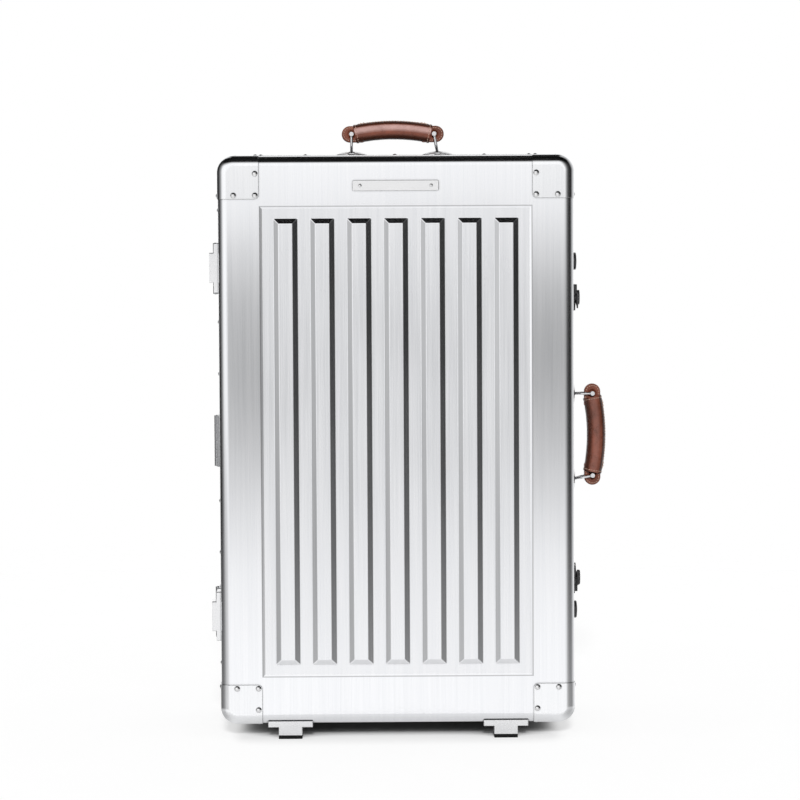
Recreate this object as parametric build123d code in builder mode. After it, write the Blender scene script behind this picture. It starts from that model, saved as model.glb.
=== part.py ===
from build123d import *
from math import atan, cos, degrees, radians, sin, tan
import os

os.makedirs("parts", exist_ok=True)

# Hard-shell suitcase on wheels, in millimetres.
# The floor is z = 0, the front faces -Y and x = 0 is the middle.

# Case: the outside of the two pressed shells, without the frames that stand proud of them.
case_width = 436.0
case_height = 698.5
front_depth = 100.0  # seam to front face
rear_depth = 150.0  # seam to rear face
ground_clearance = 18.6
wall = 1.2
corner_radius = 20.0  # seen from the front
face_radius = 12.0  # where a face turns into the sides
seat_gap = 0.1  # between pieces that are seated on each other
overcut = 1.0  # how far a cut runs past a face
pick_margin = 0.1  # when edges are picked by their place

# Pressed panel and its ribs, on both faces.
panel_width = 333.0
panel_height = 578.0
panel_drop = 1.5  # middle of the panel below the middle of the case
panel_step = 0.8
panel_bevel = 3.0
rib_count = 7
rib_pitch = 45.0
rib_base = 29.5
rib_crest = 17.0
rib_length = 548.5
rib_height = 4.2
rib_edge_radius = 1.8

# Frames: two rims that hold the edges of the shells and meet at the seam.
frame_proud = 3.8
front_band = 20.0
rear_band = 48.0
front_web = 4.0
rear_web = 9.0
lip = 2.7
lip_depth = 10.0
tongue_width = 2.0
tongue_height = 3.0
groove_side_gap = 1.0
groove_depth = 5.0
seal_height = 1.7

# Corner caps and rivets.
cap_width = 50.5
top_cap_height = 52.4
bottom_cap_height = 48.8
cap_thickness = 1.0
cap_corner_radius = 5.0
cap_rivet_pitch = 26.4
cap_rivet_edge = 4.3
rivet_radius = 3.5
rivet_height = 1.8
small_rivet_radius = 2.0
small_rivet_height = 1.0
band_rivet_edge = 9.0  # from the free edge of a frame
top_rivets = (112.0, 168.0)
bottom_rivets = (84.0, 168.0)
latch_side_rivets = (120.0, 270.0)
hinge_side_rivets = (80.0, 145.0, 285.0)

# Name plate.
plate_width = 105.0
plate_height = 12.3
plate_thickness = 1.2
plate_below_top = 36.7
plate_rivet_edge = 9.0
plate_corner = 1.5
plate_edge = 0.4

# Linings.
lining_thickness = 1.5
lining_gap = 0.3
lining_depth = 101.0  # seam to the back of the rear lining
lining_radius = 9.0

# Hinges on the left side.
hinge_spacing = 217.0
hinge_drop = 4.7  # middle hinge below the middle of the case
hinge_length = 64.0
knuckle_count = 6
knuckle_radius = 3.0
knuckle_gap = 0.3
hinge_pin_radius = 1.2
hinge_pin_overhang = 0.5
hinge_standoff = 4.7  # pin axis from the frame
leaf_thickness = 3.2
leaf_width = 14.0
leaf_start = 3.4  # from the pin axis
leaf_rivet_edge = 5.6  # from the free edge of a leaf
running_gap = 0.05

# Turn latches on the right side.
latch_spacing = 178.3
latch_drop = 4.7  # middle of the pair below the middle of the case
latch_plate_height = 33.0
latch_plate_width = 38.0
latch_plate_thickness = 7.4
latch_plate_corner = 3.0
latch_plate_start = 4.0  # from the seam
latch_pivot = 20.0  # from the seam
spindle_radius = 3.0
cam_thickness = 1.8
cam_gap = 0.3
cam_swing = (-16.0, 134.0)  # pocket in the plate, degrees from the seam towards the middle
cam_hub_radius = 8.0
cam_arm_width = 6.0
cam_arm_angle = 14.0
hook_width = 4.0
hook_start = -9.0
hook_end = 21.0
knob_radius = 9.3
knob_thickness = 3.3
knob_gap = 0.75  # above the plate
knob_rim = 1.6
knob_bar_width = 4.0
knob_dish = 2.2  # depth of the finger hollows beside the bar
knob_edge = 0.4
keeper_width = 14.0
keeper_thickness = 2.5
keeper_corner = 3.0
keeper_start = 3.5
post_radius = 2.5
post_head_radius = 4.0
post_head_thickness = 1.0
post_head_edge = 0.4
post_gap = 0.5

# Key locks on the right side.
lock_spacing = 222.0
lock_drop = 2.6  # middle of the pair below the middle of the case
lock_setback = 25.0
rosette_radius = 11.0
rosette_thickness = 7.6
rosette_edge = 1.2
plug_radius = 5.0
plug_proud = 0.5
key_slot_width = 1.4
key_slot_height = 6.0
key_slot_depth = 2.5

# Carrying handles, the same on the top and on the right side.
handle_setback = 25.0  # from the seam to the middle of a handle
handle_spread = 54.4  # middle of the handle to a base
side_handle_drop = 3.0  # its middle below the middle of the case
grip_shift = -2.2  # the grip sits off the middle, so one link leans
pin_spread = 52.2
pivot_height = 3.6  # above the frame
pin_height = 27.9
grip_rise = 4.9
grip_half_length = 48.0
grip_thickness = 23.0
grip_width = 21.0
grip_corner = 9.0
lobe_radius = 10.5
lobe_reach = 2.0  # from the pin to the middle of the lobe
tab_thickness = 10.0
base_radius = 19.5
base_height = 6.4
base_rim = 2.2
base_floor = 0.8
base_slot = 8.6
handle_pin_radius = 1.2
handle_pin_length = 19.0
link_hub_radius = 2.4
link_hub_length = 7.6
knee_height = 13.5  # above the frame, where the legs of a link turn in to its hub
bend_radius = 2.5
wire_radius = 1.75
eye_radius = 3.0
eye_thickness = 4.0
eye_gap = 0.4
grip_pin_radius = 1.5
grip_pin_head = 2.8
grip_pin_head_thickness = 1.0

# Feet.
foot_inset = 85.0  # from the side of the case to the middle of a foot
foot_front = 2.0  # from the front face
foot_length = 28.0
foot_flange_width = 55.0
foot_flange_rise = 3.3
foot_flange_drop = 4.0
foot_block_width = 29.0
foot_edge = 1.0
pad_thickness = 4.5
side_foot_spacing = 215.3
side_foot_drop = 2.2  # middle of a pair below the middle of the case
side_foot_height = 61.0
side_foot_flange = 6.0
side_foot_block = 37.0
side_foot_reach = 11.3
side_foot_length = 30.0
side_foot_edge = 1.5
side_foot_setback = 19.0  # from the faces of the case

# Wheels.
wheel_radius = 30.0
wheel_width = 24.0
wheel_inset = 85.0  # from the side of the case to the middle of a wheel
wheel_setback = 24.0  # axle from the rear face
hub_radius = 21.0
boss_radius = 7.0
boss_gap = 0.5
axle_radius = 3.0
tyre_round = 5.0
housing_width = 50.0
housing_depth = 60.0
housing_height = 48.0
housing_wall = 2.0

# Pull handle.
tube_spread = 52.0
tube_setback = 23.0  # from the rear face
inner_tube_radius = 7.0
tube_wall = 1.0
slide_gap = 0.1
inner_tube_bottom = 40.0  # above the bottom of the case
outer_tube_bottom = 10.0
cup_width = 150.0
cup_length = 38.0
cup_depth = 28.5
cup_wall = 2.5
cup_setback = 8.5  # from the rear face
pull_grip_width = 132.0
pull_grip_length = 18.0
pull_grip_height = 19.0
pull_grip_drop = 2.0  # top of the grip below the top of the case
pull_socket = 8.0
pull_grip_corner = 8.0
pull_grip_round = 4.0
button_width = 43.0
button_length = 9.0
button_height = 5.0
button_proud = 1.5
button_travel = 4.0
button_gap = 0.4
button_edge = 1.0
bracket_width = 130.0
bracket_length = 20.0
bracket_height = 14.0

# Places worked out from the sizes above.
seam_y = (front_depth - rear_depth) / 2
front_y = seam_y - front_depth
rear_y = seam_y + rear_depth
bottom_z = ground_clearance
top_z = ground_clearance + case_height
mid_z = ground_clearance + case_height / 2
panel_z = mid_z - panel_drop
side_x = case_width / 2
frame_x = side_x + frame_proud
frame_inset = wall + seat_gap + lip
tongue_middle = (frame_proud - frame_inset) / 2
hinge_x = -frame_x - hinge_standoff
hinge_heights = [mid_z - hinge_drop + step * hinge_spacing for step in (-1, 0, 1)]
handle_y = seam_y + handle_setback
foot_x = side_x - foot_inset
wheel_x = side_x - wheel_inset
sides = {"left": -1, "right": 1}
cap_heights = {1: top_cap_height, -1: bottom_cap_height}
levels = {"upper": 1, "lower": -1}


def save(piece, name):
    piece.part.label = name
    export_step(piece.part, f"parts/{name}.step")


# Sketch planes across the case, with local y along Z: one faces the front, one the rear.
def front_view(y, z=mid_z):
    return Plane(origin=(0, y, z), x_dir=(1, 0, 0), z_dir=(0, -1, 0))


def rear_view(y, z=mid_z):
    return Plane(origin=(0, y, z), x_dir=(-1, 0, 0), z_dir=(0, 1, 0))


# The plain rounded block of one half, from the rim outwards, grown on all sides but the rim.
def half_block(view, rim, depth, grow=0.0):
    outward = view(0).z_dir.Y
    with BuildPart() as block:
        with BuildSketch(view(seam_y + outward * rim)):
            RectangleRounded(case_width + 2 * grow, case_height + 2 * grow, corner_radius + grow)
        extrude(amount=depth - rim + grow)
        face = block.faces().filter_by(Axis.Y).sort_by(lambda f: outward * f.center().Y)[-1]
        fillet(face.edges(), face_radius + grow)
    return block.part


# The block with its pressed panel and ribs. A block shrunk by the wall is the hollow of the shell.
def pressed_block(view, rim, depth, grow=0.0):
    outward = view(0).z_dir.Y
    face_y = seam_y + outward * (depth + grow)
    floor_y = face_y - outward * panel_step
    bevel_shift = -grow * tan(atan(panel_step / panel_bevel) / 2)
    rib_run = (rib_base - rib_crest) / 2
    rib_shift = grow * tan(atan(rib_height / rib_run) / 2)
    with BuildPart() as block:
        add(half_block(view, rim, depth, grow))
        with BuildSketch(view(face_y, panel_z)):
            Rectangle(panel_width + 2 * bevel_shift, panel_height + 2 * bevel_shift)
        with BuildSketch(view(floor_y, panel_z)):
            inside = 2 * (bevel_shift - panel_bevel)
            Rectangle(panel_width + inside, panel_height + inside)
        loft(ruled=True, mode=Mode.SUBTRACT)
        with BuildSketch(view(floor_y, panel_z)):
            with GridLocations(rib_pitch, 1, rib_count, 1):
                Rectangle(rib_base + 2 * rib_shift, rib_length + 2 * rib_shift)
        extrude(amount=rib_height, taper=degrees(atan(rib_run / rib_height)))
        if grow == 0:
            low, high = sorted((floor_y, floor_y + outward * rib_height))
            field = (rib_count - 1) / 2 * rib_pitch + rib_base / 2 + pick_margin
            rib_end = rib_length / 2 + pick_margin
            edges = block.edges().filter_by_position(Axis.Y, low - pick_margin, high + pick_margin)
            edges = edges.filter_by_position(Axis.X, -field, field)
            edges = edges.filter_by_position(Axis.Z, panel_z - rib_end, panel_z + rib_end)
            fillet(edges, rib_edge_radius)
    return block.part


# A rectangular hoop round the case; outer and inner are its distances outside the wall.
def hoop(view, start, depth, outer, inner):
    outward = view(0).z_dir.Y
    with BuildPart() as ring:
        with BuildSketch(view(seam_y + outward * start)):
            RectangleRounded(case_width + 2 * outer, case_height + 2 * outer, corner_radius + outer)
            inside = (case_width + 2 * inner, case_height + 2 * inner, corner_radius + inner)
            RectangleRounded(*inside, mode=Mode.SUBTRACT)
        extrude(amount=depth)
    return ring.part


# Front shell, frame and lining.
with BuildPart() as front_shell:
    add(pressed_block(front_view, front_web + seat_gap, front_depth))
    add(pressed_block(front_view, front_web + seat_gap, front_depth, -wall), mode=Mode.SUBTRACT)
save(front_shell, "front_shell")

with BuildPart() as front_frame:
    add(hoop(front_view, 0, front_web, frame_proud, -frame_inset))
    add(hoop(front_view, front_web, front_band - front_web, frame_proud, seat_gap))
    add(hoop(front_view, front_web, lip_depth, -wall - seat_gap, -frame_inset))
    tongue = (tongue_middle + tongue_width / 2, tongue_middle - tongue_width / 2)
    add(hoop(rear_view, 0, tongue_height, *tongue))
save(front_frame, "front_frame")


# The block inside a half that a lining is laid over, from its rim to its back.
def lining_block(view, rim, back, shrink=0.0):
    outward = view(0).z_dir.Y
    inset = wall + lining_gap + shrink
    with BuildPart() as block:
        with BuildSketch(view(seam_y + outward * rim)):
            RectangleRounded(case_width - 2 * inset, case_height - 2 * inset, corner_radius - inset)
        extrude(amount=back - rim - shrink)
        face = block.faces().filter_by(Axis.Y).sort_by(lambda f: outward * f.center().Y)[-1]
        fillet(face.edges(), lining_radius - shrink)
    return block.part


with BuildPart() as front_lining:
    lining_rim = front_web + lip_depth + lining_gap
    lining_back = front_depth - wall - panel_step - lining_gap
    add(lining_block(front_view, lining_rim, lining_back))
    add(lining_block(front_view, lining_rim, lining_back, lining_thickness), mode=Mode.SUBTRACT)
save(front_lining, "front_lining")


# Rear shell, with openings for the pull handle's cup and for the wheel housings.
cup_y = rear_y - cup_setback - cup_length / 2
cup_z = top_z - cup_depth / 2
housing_y = rear_y - housing_depth / 2
housing_z = bottom_z + housing_height / 2
housing_places = [(side * wheel_x, housing_y, housing_z) for side in (-1, 1)]

with BuildPart() as rear_shell:
    add(pressed_block(rear_view, rear_web + seat_gap, rear_depth))
    add(pressed_block(rear_view, rear_web + seat_gap, rear_depth, -wall), mode=Mode.SUBTRACT)
    with Locations((0, cup_y, cup_z)):
        opening = [size + 2 * seat_gap for size in (cup_width, cup_length, cup_depth)]
        Box(*opening, mode=Mode.SUBTRACT)
    with Locations(*housing_places):
        opening = [size + 2 * seat_gap for size in (housing_width, housing_depth, housing_height)]
        Box(*opening, mode=Mode.SUBTRACT)
save(rear_shell, "rear_shell")

with BuildPart() as rear_frame:
    add(hoop(rear_view, 0, rear_web, frame_proud, -frame_inset))
    add(hoop(rear_view, rear_web, rear_band - rear_web, frame_proud, seat_gap))
    add(hoop(rear_view, rear_web, lip_depth, -wall - seat_gap, -frame_inset))
    half_groove = tongue_width / 2 + groove_side_gap
    groove = (tongue_middle + half_groove, tongue_middle - half_groove)
    add(hoop(rear_view, 0, groove_depth, *groove), mode=Mode.SUBTRACT)
save(rear_frame, "rear_frame")

with BuildPart() as frame_seal:
    half_seal = half_groove - seat_gap
    seal = (tongue_middle + half_seal, tongue_middle - half_seal)
    add(hoop(rear_view, groove_depth - seal_height, seal_height, *seal))
save(frame_seal, "frame_seal")

with BuildPart() as rear_lining:
    lining_rim = rear_web + lip_depth + lining_gap
    add(lining_block(rear_view, lining_rim, lining_depth))
    add(lining_block(rear_view, lining_rim, lining_depth, lining_thickness), mode=Mode.SUBTRACT)
    with Locations(*housing_places):
        cut = [size + 2 * lining_gap for size in (housing_width, housing_depth, housing_height)]
        Box(*cut, mode=Mode.SUBTRACT)
save(rear_lining, "rear_lining")


# Corner caps: a skin over each corner of the two blocks.
def corner_cap(view, depth, x_side, z_side):
    outward = view(0).z_dir.Y
    corner = (x_side * side_x, seam_y + outward * depth, mid_z + z_side * case_height / 2)
    with BuildPart() as cap:
        add(half_block(view, 0, depth, cap_thickness))
        add(half_block(view, 0, depth, seat_gap), mode=Mode.SUBTRACT)
        with BuildPart(mode=Mode.INTERSECT):
            with Locations(corner):
                region = Box(2 * cap_width, 2 * cap_width, 2 * cap_heights[z_side])
            fillet(region.edges(), cap_corner_radius)
    return cap


halves = {"front": (front_view, front_depth), "rear": (rear_view, rear_depth)}
for half, (view, depth) in halves.items():
    for level, z_side in (("top", 1), ("bottom", -1)):
        for side, x_side in sides.items():
            save(corner_cap(view, depth, x_side, z_side), f"corner_{half}_{level}_{side}")


# Rivets: domed heads seated on caps, frames, hinge leaves and name plate.
def rivet_head(radius, height):
    with BuildPart() as head:
        with BuildSketch(Plane.XZ):
            with BuildLine():
                Polyline((0, height), (0, 0), (radius, 0))
                TangentArc((0, height), (radius, 0), tangent=(1, 0))
            make_face()
        revolve(axis=Axis.Z)
    return head.part


def cap_seats(outward, depth):
    far = cap_width - cap_rivet_edge
    near = far - cap_rivet_pitch
    face_y = seam_y + outward * depth
    skin = cap_thickness
    seats = []
    for x_side in (-1, 1):
        for z_side in (-1, 1):
            edge_x = x_side * side_x
            edge_z = mid_z + z_side * case_height / 2
            far_drop = cap_heights[z_side] - cap_rivet_edge
            near_drop = far_drop - cap_rivet_pitch
            for a, b, drop in ((far, near, near_drop), (near, far, far_drop), (far, far, far_drop)):
                face_point = (edge_x - x_side * a, face_y + outward * skin, edge_z - z_side * drop)
                side_point = (edge_x + x_side * skin, face_y - outward * a, edge_z - z_side * drop)
                end_point = (edge_x - x_side * a, face_y - outward * b, edge_z + z_side * skin)
                seats.append(Plane(face_point, z_dir=(0, outward, 0)))
                seats.append(Plane(side_point, z_dir=(x_side, 0, 0)))
                seats.append(Plane(end_point, z_dir=(0, 0, z_side)))
    return seats


def band_seats(y):
    seats = []
    for x in (0, *top_rivets, *[-x for x in top_rivets]):
        seats.append(Plane((x, y, top_z + frame_proud), z_dir=(0, 0, 1)))
    for x in (0, *bottom_rivets, *[-x for x in bottom_rivets]):
        seats.append(Plane((x, y, bottom_z - frame_proud), z_dir=(0, 0, -1)))
    for z in (0, *latch_side_rivets, *[-z for z in latch_side_rivets]):
        seats.append(Plane((frame_x, y, mid_z + z), z_dir=(1, 0, 0)))
    for z in (*hinge_side_rivets, *[-z for z in hinge_side_rivets]):
        seats.append(Plane((-frame_x, y, mid_z + z), z_dir=(-1, 0, 0)))
    return seats


def leaf_seats(outward):
    y = seam_y + outward * (leaf_start + leaf_width - leaf_rivet_edge)
    x = -frame_x - leaf_thickness
    heights = [z + step * hinge_length / 3 for z in hinge_heights for step in (-1, 0, 1)]
    return [Plane((x, y, z), z_dir=(-1, 0, 0)) for z in heights]


rivet = rivet_head(rivet_radius, rivet_height)
small_rivet = rivet_head(small_rivet_radius, small_rivet_height)
plate_z = top_z - plate_below_top
plate_rivet_x = plate_width / 2 - plate_rivet_edge
plate_spots = [(x, front_y - plate_thickness, plate_z) for x in (-plate_rivet_x, plate_rivet_x)]
plate_seats = [Plane(place, z_dir=(0, -1, 0)) for place in plate_spots]

with BuildPart() as front_rivets:
    with Locations(*cap_seats(-1, front_depth), *band_seats(seam_y - front_band + band_rivet_edge)):
        add(rivet)
    with Locations(*leaf_seats(-1), *plate_seats):
        add(small_rivet)
save(front_rivets, "front_rivets")

with BuildPart() as rear_rivets:
    with Locations(*cap_seats(1, rear_depth), *band_seats(seam_y + rear_band - band_rivet_edge)):
        add(rivet)
    with Locations(*leaf_seats(1)):
        add(small_rivet)
save(rear_rivets, "rear_rivets")

with BuildPart() as name_plate:
    with BuildSketch(Plane((0, front_y, plate_z), x_dir=(1, 0, 0), z_dir=(0, -1, 0))):
        RectangleRounded(plate_width, plate_height, plate_corner)
    extrude(amount=plate_thickness)
    fillet(name_plate.faces().sort_by(Axis.Y)[0].edges(), plate_edge)
save(name_plate, "name_plate")


# Hinges: leaves on the frames, with knuckles that take turns along each pin.
hinge_pin_length = hinge_length + 2 * hinge_pin_overhang


def hinge_leaves(outward, first):
    pitch = hinge_length / knuckle_count
    plate_y = seam_y + outward * (leaf_start + leaf_width / 2)
    plate_x = -frame_x - leaf_thickness / 2
    barrel_near = -frame_x - (hinge_standoff - knuckle_radius)
    web_far = -frame_x - leaf_thickness
    knuckles = range(first, knuckle_count, 2)
    heights = [z + (index + 0.5) * pitch - hinge_length / 2 for z in hinge_heights for index in knuckles]
    with BuildPart() as leaves:
        with Locations(*[(plate_x, plate_y, z) for z in hinge_heights]):
            Box(leaf_thickness, leaf_width, hinge_length)
        with Locations(*[(hinge_x, seam_y, z) for z in heights]):
            Cylinder(knuckle_radius, pitch - knuckle_gap)
        web_x = (barrel_near + web_far) / 2
        with Locations(*[(web_x, seam_y + outward * leaf_start / 2, z) for z in heights]):
            Box(barrel_near - web_far, leaf_start, pitch - knuckle_gap)
        with Locations(*[(hinge_x, seam_y, z) for z in hinge_heights]):
            Cylinder(hinge_pin_radius + running_gap, hinge_pin_length, mode=Mode.SUBTRACT)
    return leaves


save(hinge_leaves(-1, 1), "hinge_front_leaves")
save(hinge_leaves(1, 0), "hinge_rear_leaves")

with BuildPart() as hinge_pins:
    with Locations(*[(hinge_x, seam_y, z) for z in hinge_heights]):
        Cylinder(hinge_pin_radius, hinge_pin_length)
save(hinge_pins, "hinge_pins")


# Turn latches: sketches face +X, with local x towards the seam and local y towards the middle of the case.
def latch_view(x, y, level):
    z = mid_z - latch_drop + level * latch_spacing
    return Plane((x, y, z), x_dir=(0, -1, 0), z_dir=(level, 0, 0))


pivot_y = seam_y + latch_pivot
post_y = seam_y - keeper_start - keeper_width / 2
post_reach = pivot_y - post_y
plate_top_x = frame_x + latch_plate_thickness
cam_x = plate_top_x - cam_thickness
knob_x = plate_top_x + knob_gap

for name, level in levels.items():
    with BuildPart() as latch_plate:
        plate_y = seam_y + latch_plate_start + latch_plate_width / 2
        with BuildSketch(latch_view(frame_x, plate_y, level)):
            RectangleRounded(latch_plate_width, latch_plate_height, latch_plate_corner)
        extrude(amount=level * latch_plate_thickness)
        with BuildSketch(latch_view(frame_x, pivot_y, level)):
            Circle(spindle_radius + running_gap)
        extrude(amount=level * latch_plate_thickness, mode=Mode.SUBTRACT)
        with BuildSketch(latch_view(cam_x - cam_gap, pivot_y, level)):
            swing = 4 * latch_plate_width
            rays = [(swing * cos(radians(a)), swing * sin(radians(a))) for a in cam_swing]
            Polygon((0, 0), *rays, align=None)
            Circle(cam_hub_radius + cam_gap)
        extrude(amount=level * (cam_thickness + cam_gap), mode=Mode.SUBTRACT)
    save(latch_plate, f"latch_plate_{name}")

    with BuildPart() as latch_turn:
        with BuildSketch(latch_view(frame_x, pivot_y, level)):
            Circle(spindle_radius)
        extrude(amount=level * (knob_x - frame_x))
        with BuildSketch(latch_view(knob_x, pivot_y, level)):
            Circle(knob_radius)
        extrude(amount=level * knob_thickness)
        fillet(latch_turn.faces().sort_by(Axis.X)[-1].edges(), knob_edge)
        with BuildSketch(latch_view(knob_x + knob_thickness, pivot_y, level)):
            Circle(knob_radius - knob_rim)
            Rectangle(2 * knob_radius, knob_bar_width, mode=Mode.SUBTRACT)
        extrude(amount=-level * knob_dish, mode=Mode.SUBTRACT)
    save(latch_turn, f"latch_turn_{name}")

    with BuildPart() as latch_cam:
        hook_inner = post_reach + post_radius + post_gap
        hook_outer = hook_inner + hook_width
        with BuildSketch(latch_view(cam_x, pivot_y, level)):
            Circle(hook_outer)
            Circle(hook_inner, mode=Mode.SUBTRACT)
            reach = 2 * hook_outer
            rays = [(reach * cos(radians(a)), reach * sin(radians(a))) for a in (hook_start, hook_end)]
            Polygon((0, 0), *rays, align=None, mode=Mode.INTERSECT)
            arm = cam_arm_angle
            arm_length = hook_inner + hook_width / 2
            with Locations((arm_length / 2 * cos(radians(arm)), arm_length / 2 * sin(radians(arm)))):
                Rectangle(arm_length, cam_arm_width, rotation=arm)
            Circle(cam_hub_radius)
            Circle(spindle_radius + running_gap, mode=Mode.SUBTRACT)
        extrude(amount=level * cam_thickness)
    save(latch_cam, f"latch_cam_{name}")

    with BuildPart() as latch_keeper:
        with BuildSketch(latch_view(frame_x, post_y, level)):
            RectangleRounded(keeper_width, latch_plate_height, keeper_corner)
        extrude(amount=level * keeper_thickness)
        with BuildSketch(latch_view(frame_x, post_y, level)):
            Circle(post_radius)
        extrude(amount=level * (plate_top_x + cam_gap - frame_x))
        with BuildSketch(latch_view(plate_top_x + cam_gap, post_y, level)):
            Circle(post_head_radius)
        extrude(amount=level * post_head_thickness)
        fillet(latch_keeper.faces().sort_by(Axis.X)[-1].edges(), post_head_edge)
    save(latch_keeper, f"latch_keeper_{name}")


# Key locks: a rosette with a plug that turns in it.
for name, level in levels.items():
    lock_middle = (frame_x, seam_y + lock_setback, mid_z - lock_drop + level * lock_spacing)
    lock_plane = Plane(lock_middle, x_dir=(0, 1, 0), z_dir=(1, 0, 0))
    with BuildPart() as lock_rosette:
        with BuildSketch(lock_plane):
            Circle(rosette_radius)
        extrude(amount=rosette_thickness)
        fillet(lock_rosette.faces().sort_by(Axis.X)[-1].edges(), rosette_edge)
        with BuildSketch(lock_plane):
            Circle(plug_radius + running_gap)
        extrude(amount=rosette_thickness, mode=Mode.SUBTRACT)
    save(lock_rosette, f"lock_rosette_{name}")

    with BuildPart() as lock_plug:
        with BuildSketch(lock_plane):
            Circle(plug_radius)
        extrude(amount=rosette_thickness + plug_proud)
        with BuildSketch(lock_plane.offset(rosette_thickness + plug_proud)):
            SlotOverall(key_slot_height, key_slot_width, rotation=90)
        extrude(amount=-key_slot_depth, mode=Mode.SUBTRACT)
    save(lock_plug, f"lock_plug_{name}")


# Carrying handles, each in its own plane.
# Local x runs along the grip, local y away from the case and local z forwards.
top_handle = Plane((0, handle_y, top_z + frame_proud), x_dir=(1, 0, 0), z_dir=(0, -1, 0))
side_handle = Plane((frame_x, handle_y, mid_z - side_handle_drop), x_dir=(0, 0, -1), z_dir=(0, -1, 0))
eye_middle = tab_thickness / 2 + eye_gap + eye_thickness / 2


def spot(frame, x, y, z=0.0):
    return frame.from_local_coords(Vector(x, y, z))


def handle_grip(frame):
    with BuildPart() as grip:
        with BuildSketch(frame):
            with Locations((grip_shift, pin_height)):
                SlotOverall(2 * (pin_spread + lobe_reach + lobe_radius), 2 * lobe_radius)
        extrude(amount=tab_thickness / 2, both=True)
        with BuildLine(frame) as arch:
            start = (grip_shift - grip_half_length, pin_height)
            end = (grip_shift + grip_half_length, pin_height)
            ThreePointArc(start, (grip_shift, pin_height + grip_rise), end)
        with BuildSketch(Plane(arch.line @ 0, x_dir=frame.z_dir, z_dir=arch.line % 0)):
            RectangleRounded(grip_width, grip_thickness, grip_corner)
        sweep()
        with BuildSketch(frame):
            with Locations((grip_shift - pin_spread, pin_height), (grip_shift + pin_spread, pin_height)):
                Circle(grip_pin_radius + seat_gap)
        extrude(amount=tab_thickness, both=True, mode=Mode.SUBTRACT)
    return grip


def handle_link(frame, end):
    base_x = end * handle_spread
    pin_x = grip_shift + end * pin_spread
    with BuildPart() as link:
        with BuildSketch(Plane(spot(frame, base_x, pivot_height), x_dir=frame.z_dir, z_dir=frame.x_dir)):
            Circle(link_hub_radius)
        extrude(amount=link_hub_length / 2, both=True)
        knee_x = base_x + (pin_x - base_x) * (knee_height - pivot_height) / (pin_height - pivot_height)
        eyes = [spot(frame, pin_x, pin_height, face * eye_middle) for face in (1, -1)]
        knees = [spot(frame, knee_x, knee_height, face * eye_middle) for face in (1, -1)]
        with BuildLine() as wire:
            foot = spot(frame, base_x, pivot_height)
            FilletPolyline(eyes[0], knees[0], foot, knees[1], eyes[1], radius=bend_radius)
        with BuildSketch(Plane(wire.line @ 0, z_dir=wire.line % 0)):
            Circle(wire_radius)
        sweep()
        for eye in eyes:
            with BuildSketch(Plane(eye, z_dir=frame.z_dir)):
                Circle(eye_radius)
            extrude(amount=eye_thickness / 2, both=True)
        with BuildSketch(Plane(spot(frame, base_x, pivot_height), z_dir=frame.x_dir)):
            Circle(handle_pin_radius + running_gap)
        extrude(amount=link_hub_length, both=True, mode=Mode.SUBTRACT)
        with BuildSketch(Plane(spot(frame, pin_x, pin_height), z_dir=frame.z_dir)):
            Circle(grip_pin_radius + running_gap)
        extrude(amount=eye_middle + eye_thickness, both=True, mode=Mode.SUBTRACT)
    return link


def handle_pins(frame):
    outer = eye_middle + eye_thickness / 2
    with BuildPart() as pins:
        for end in (-1, 1):
            middle = Plane(spot(frame, grip_shift + end * pin_spread, pin_height), z_dir=frame.z_dir)
            with BuildSketch(middle):
                Circle(grip_pin_radius)
            extrude(amount=outer, both=True)
            for face in (-1, 1):
                with BuildSketch(middle.offset(face * outer)):
                    Circle(grip_pin_head)
                extrude(amount=face * grip_pin_head_thickness)
    return pins


def handle_bases(frame):
    with BuildPart() as bases:
        for end in (-1, 1):
            centre = end * handle_spread
            with BuildSketch(frame):
                with BuildLine():
                    Polyline(
                        (centre, base_height),
                        (centre, 0),
                        (centre + base_radius, 0),
                        (centre + base_radius, base_rim),
                    )
                    TangentArc((centre, base_height), (centre + base_radius, base_rim), tangent=(1, 0))
                make_face()
            revolve(axis=Axis(spot(frame, centre, 0), frame.y_dir))
            with BuildSketch(frame):
                with Locations((centre, base_floor + base_height / 2)):
                    Rectangle(base_slot, base_height)
            extrude(amount=base_radius + overcut, both=True, mode=Mode.SUBTRACT)
            with BuildSketch(Plane(spot(frame, centre, pivot_height), z_dir=frame.x_dir)):
                Circle(handle_pin_radius + running_gap)
            extrude(amount=handle_pin_length / 2, both=True, mode=Mode.SUBTRACT)
    return bases


for name, frame, ends in (
    ("top_handle", top_handle, {"left": -1, "right": 1}),
    ("side_handle", side_handle, {"upper": -1, "lower": 1}),
):
    save(handle_grip(frame), f"{name}_grip")
    for end_name, end in ends.items():
        save(handle_link(frame, end), f"{name}_link_{end_name}")
    save(handle_pins(frame), f"{name}_pins")
    save(handle_bases(frame), f"{name}_bases")

with BuildPart() as handle_hinge_pins:
    for frame in (top_handle, side_handle):
        for end in (-1, 1):
            with BuildSketch(Plane(spot(frame, end * handle_spread, pivot_height), z_dir=frame.x_dir)):
                Circle(handle_pin_radius)
            extrude(amount=handle_pin_length / 2, both=True)
save(handle_hinge_pins, "handle_hinge_pins")


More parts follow.
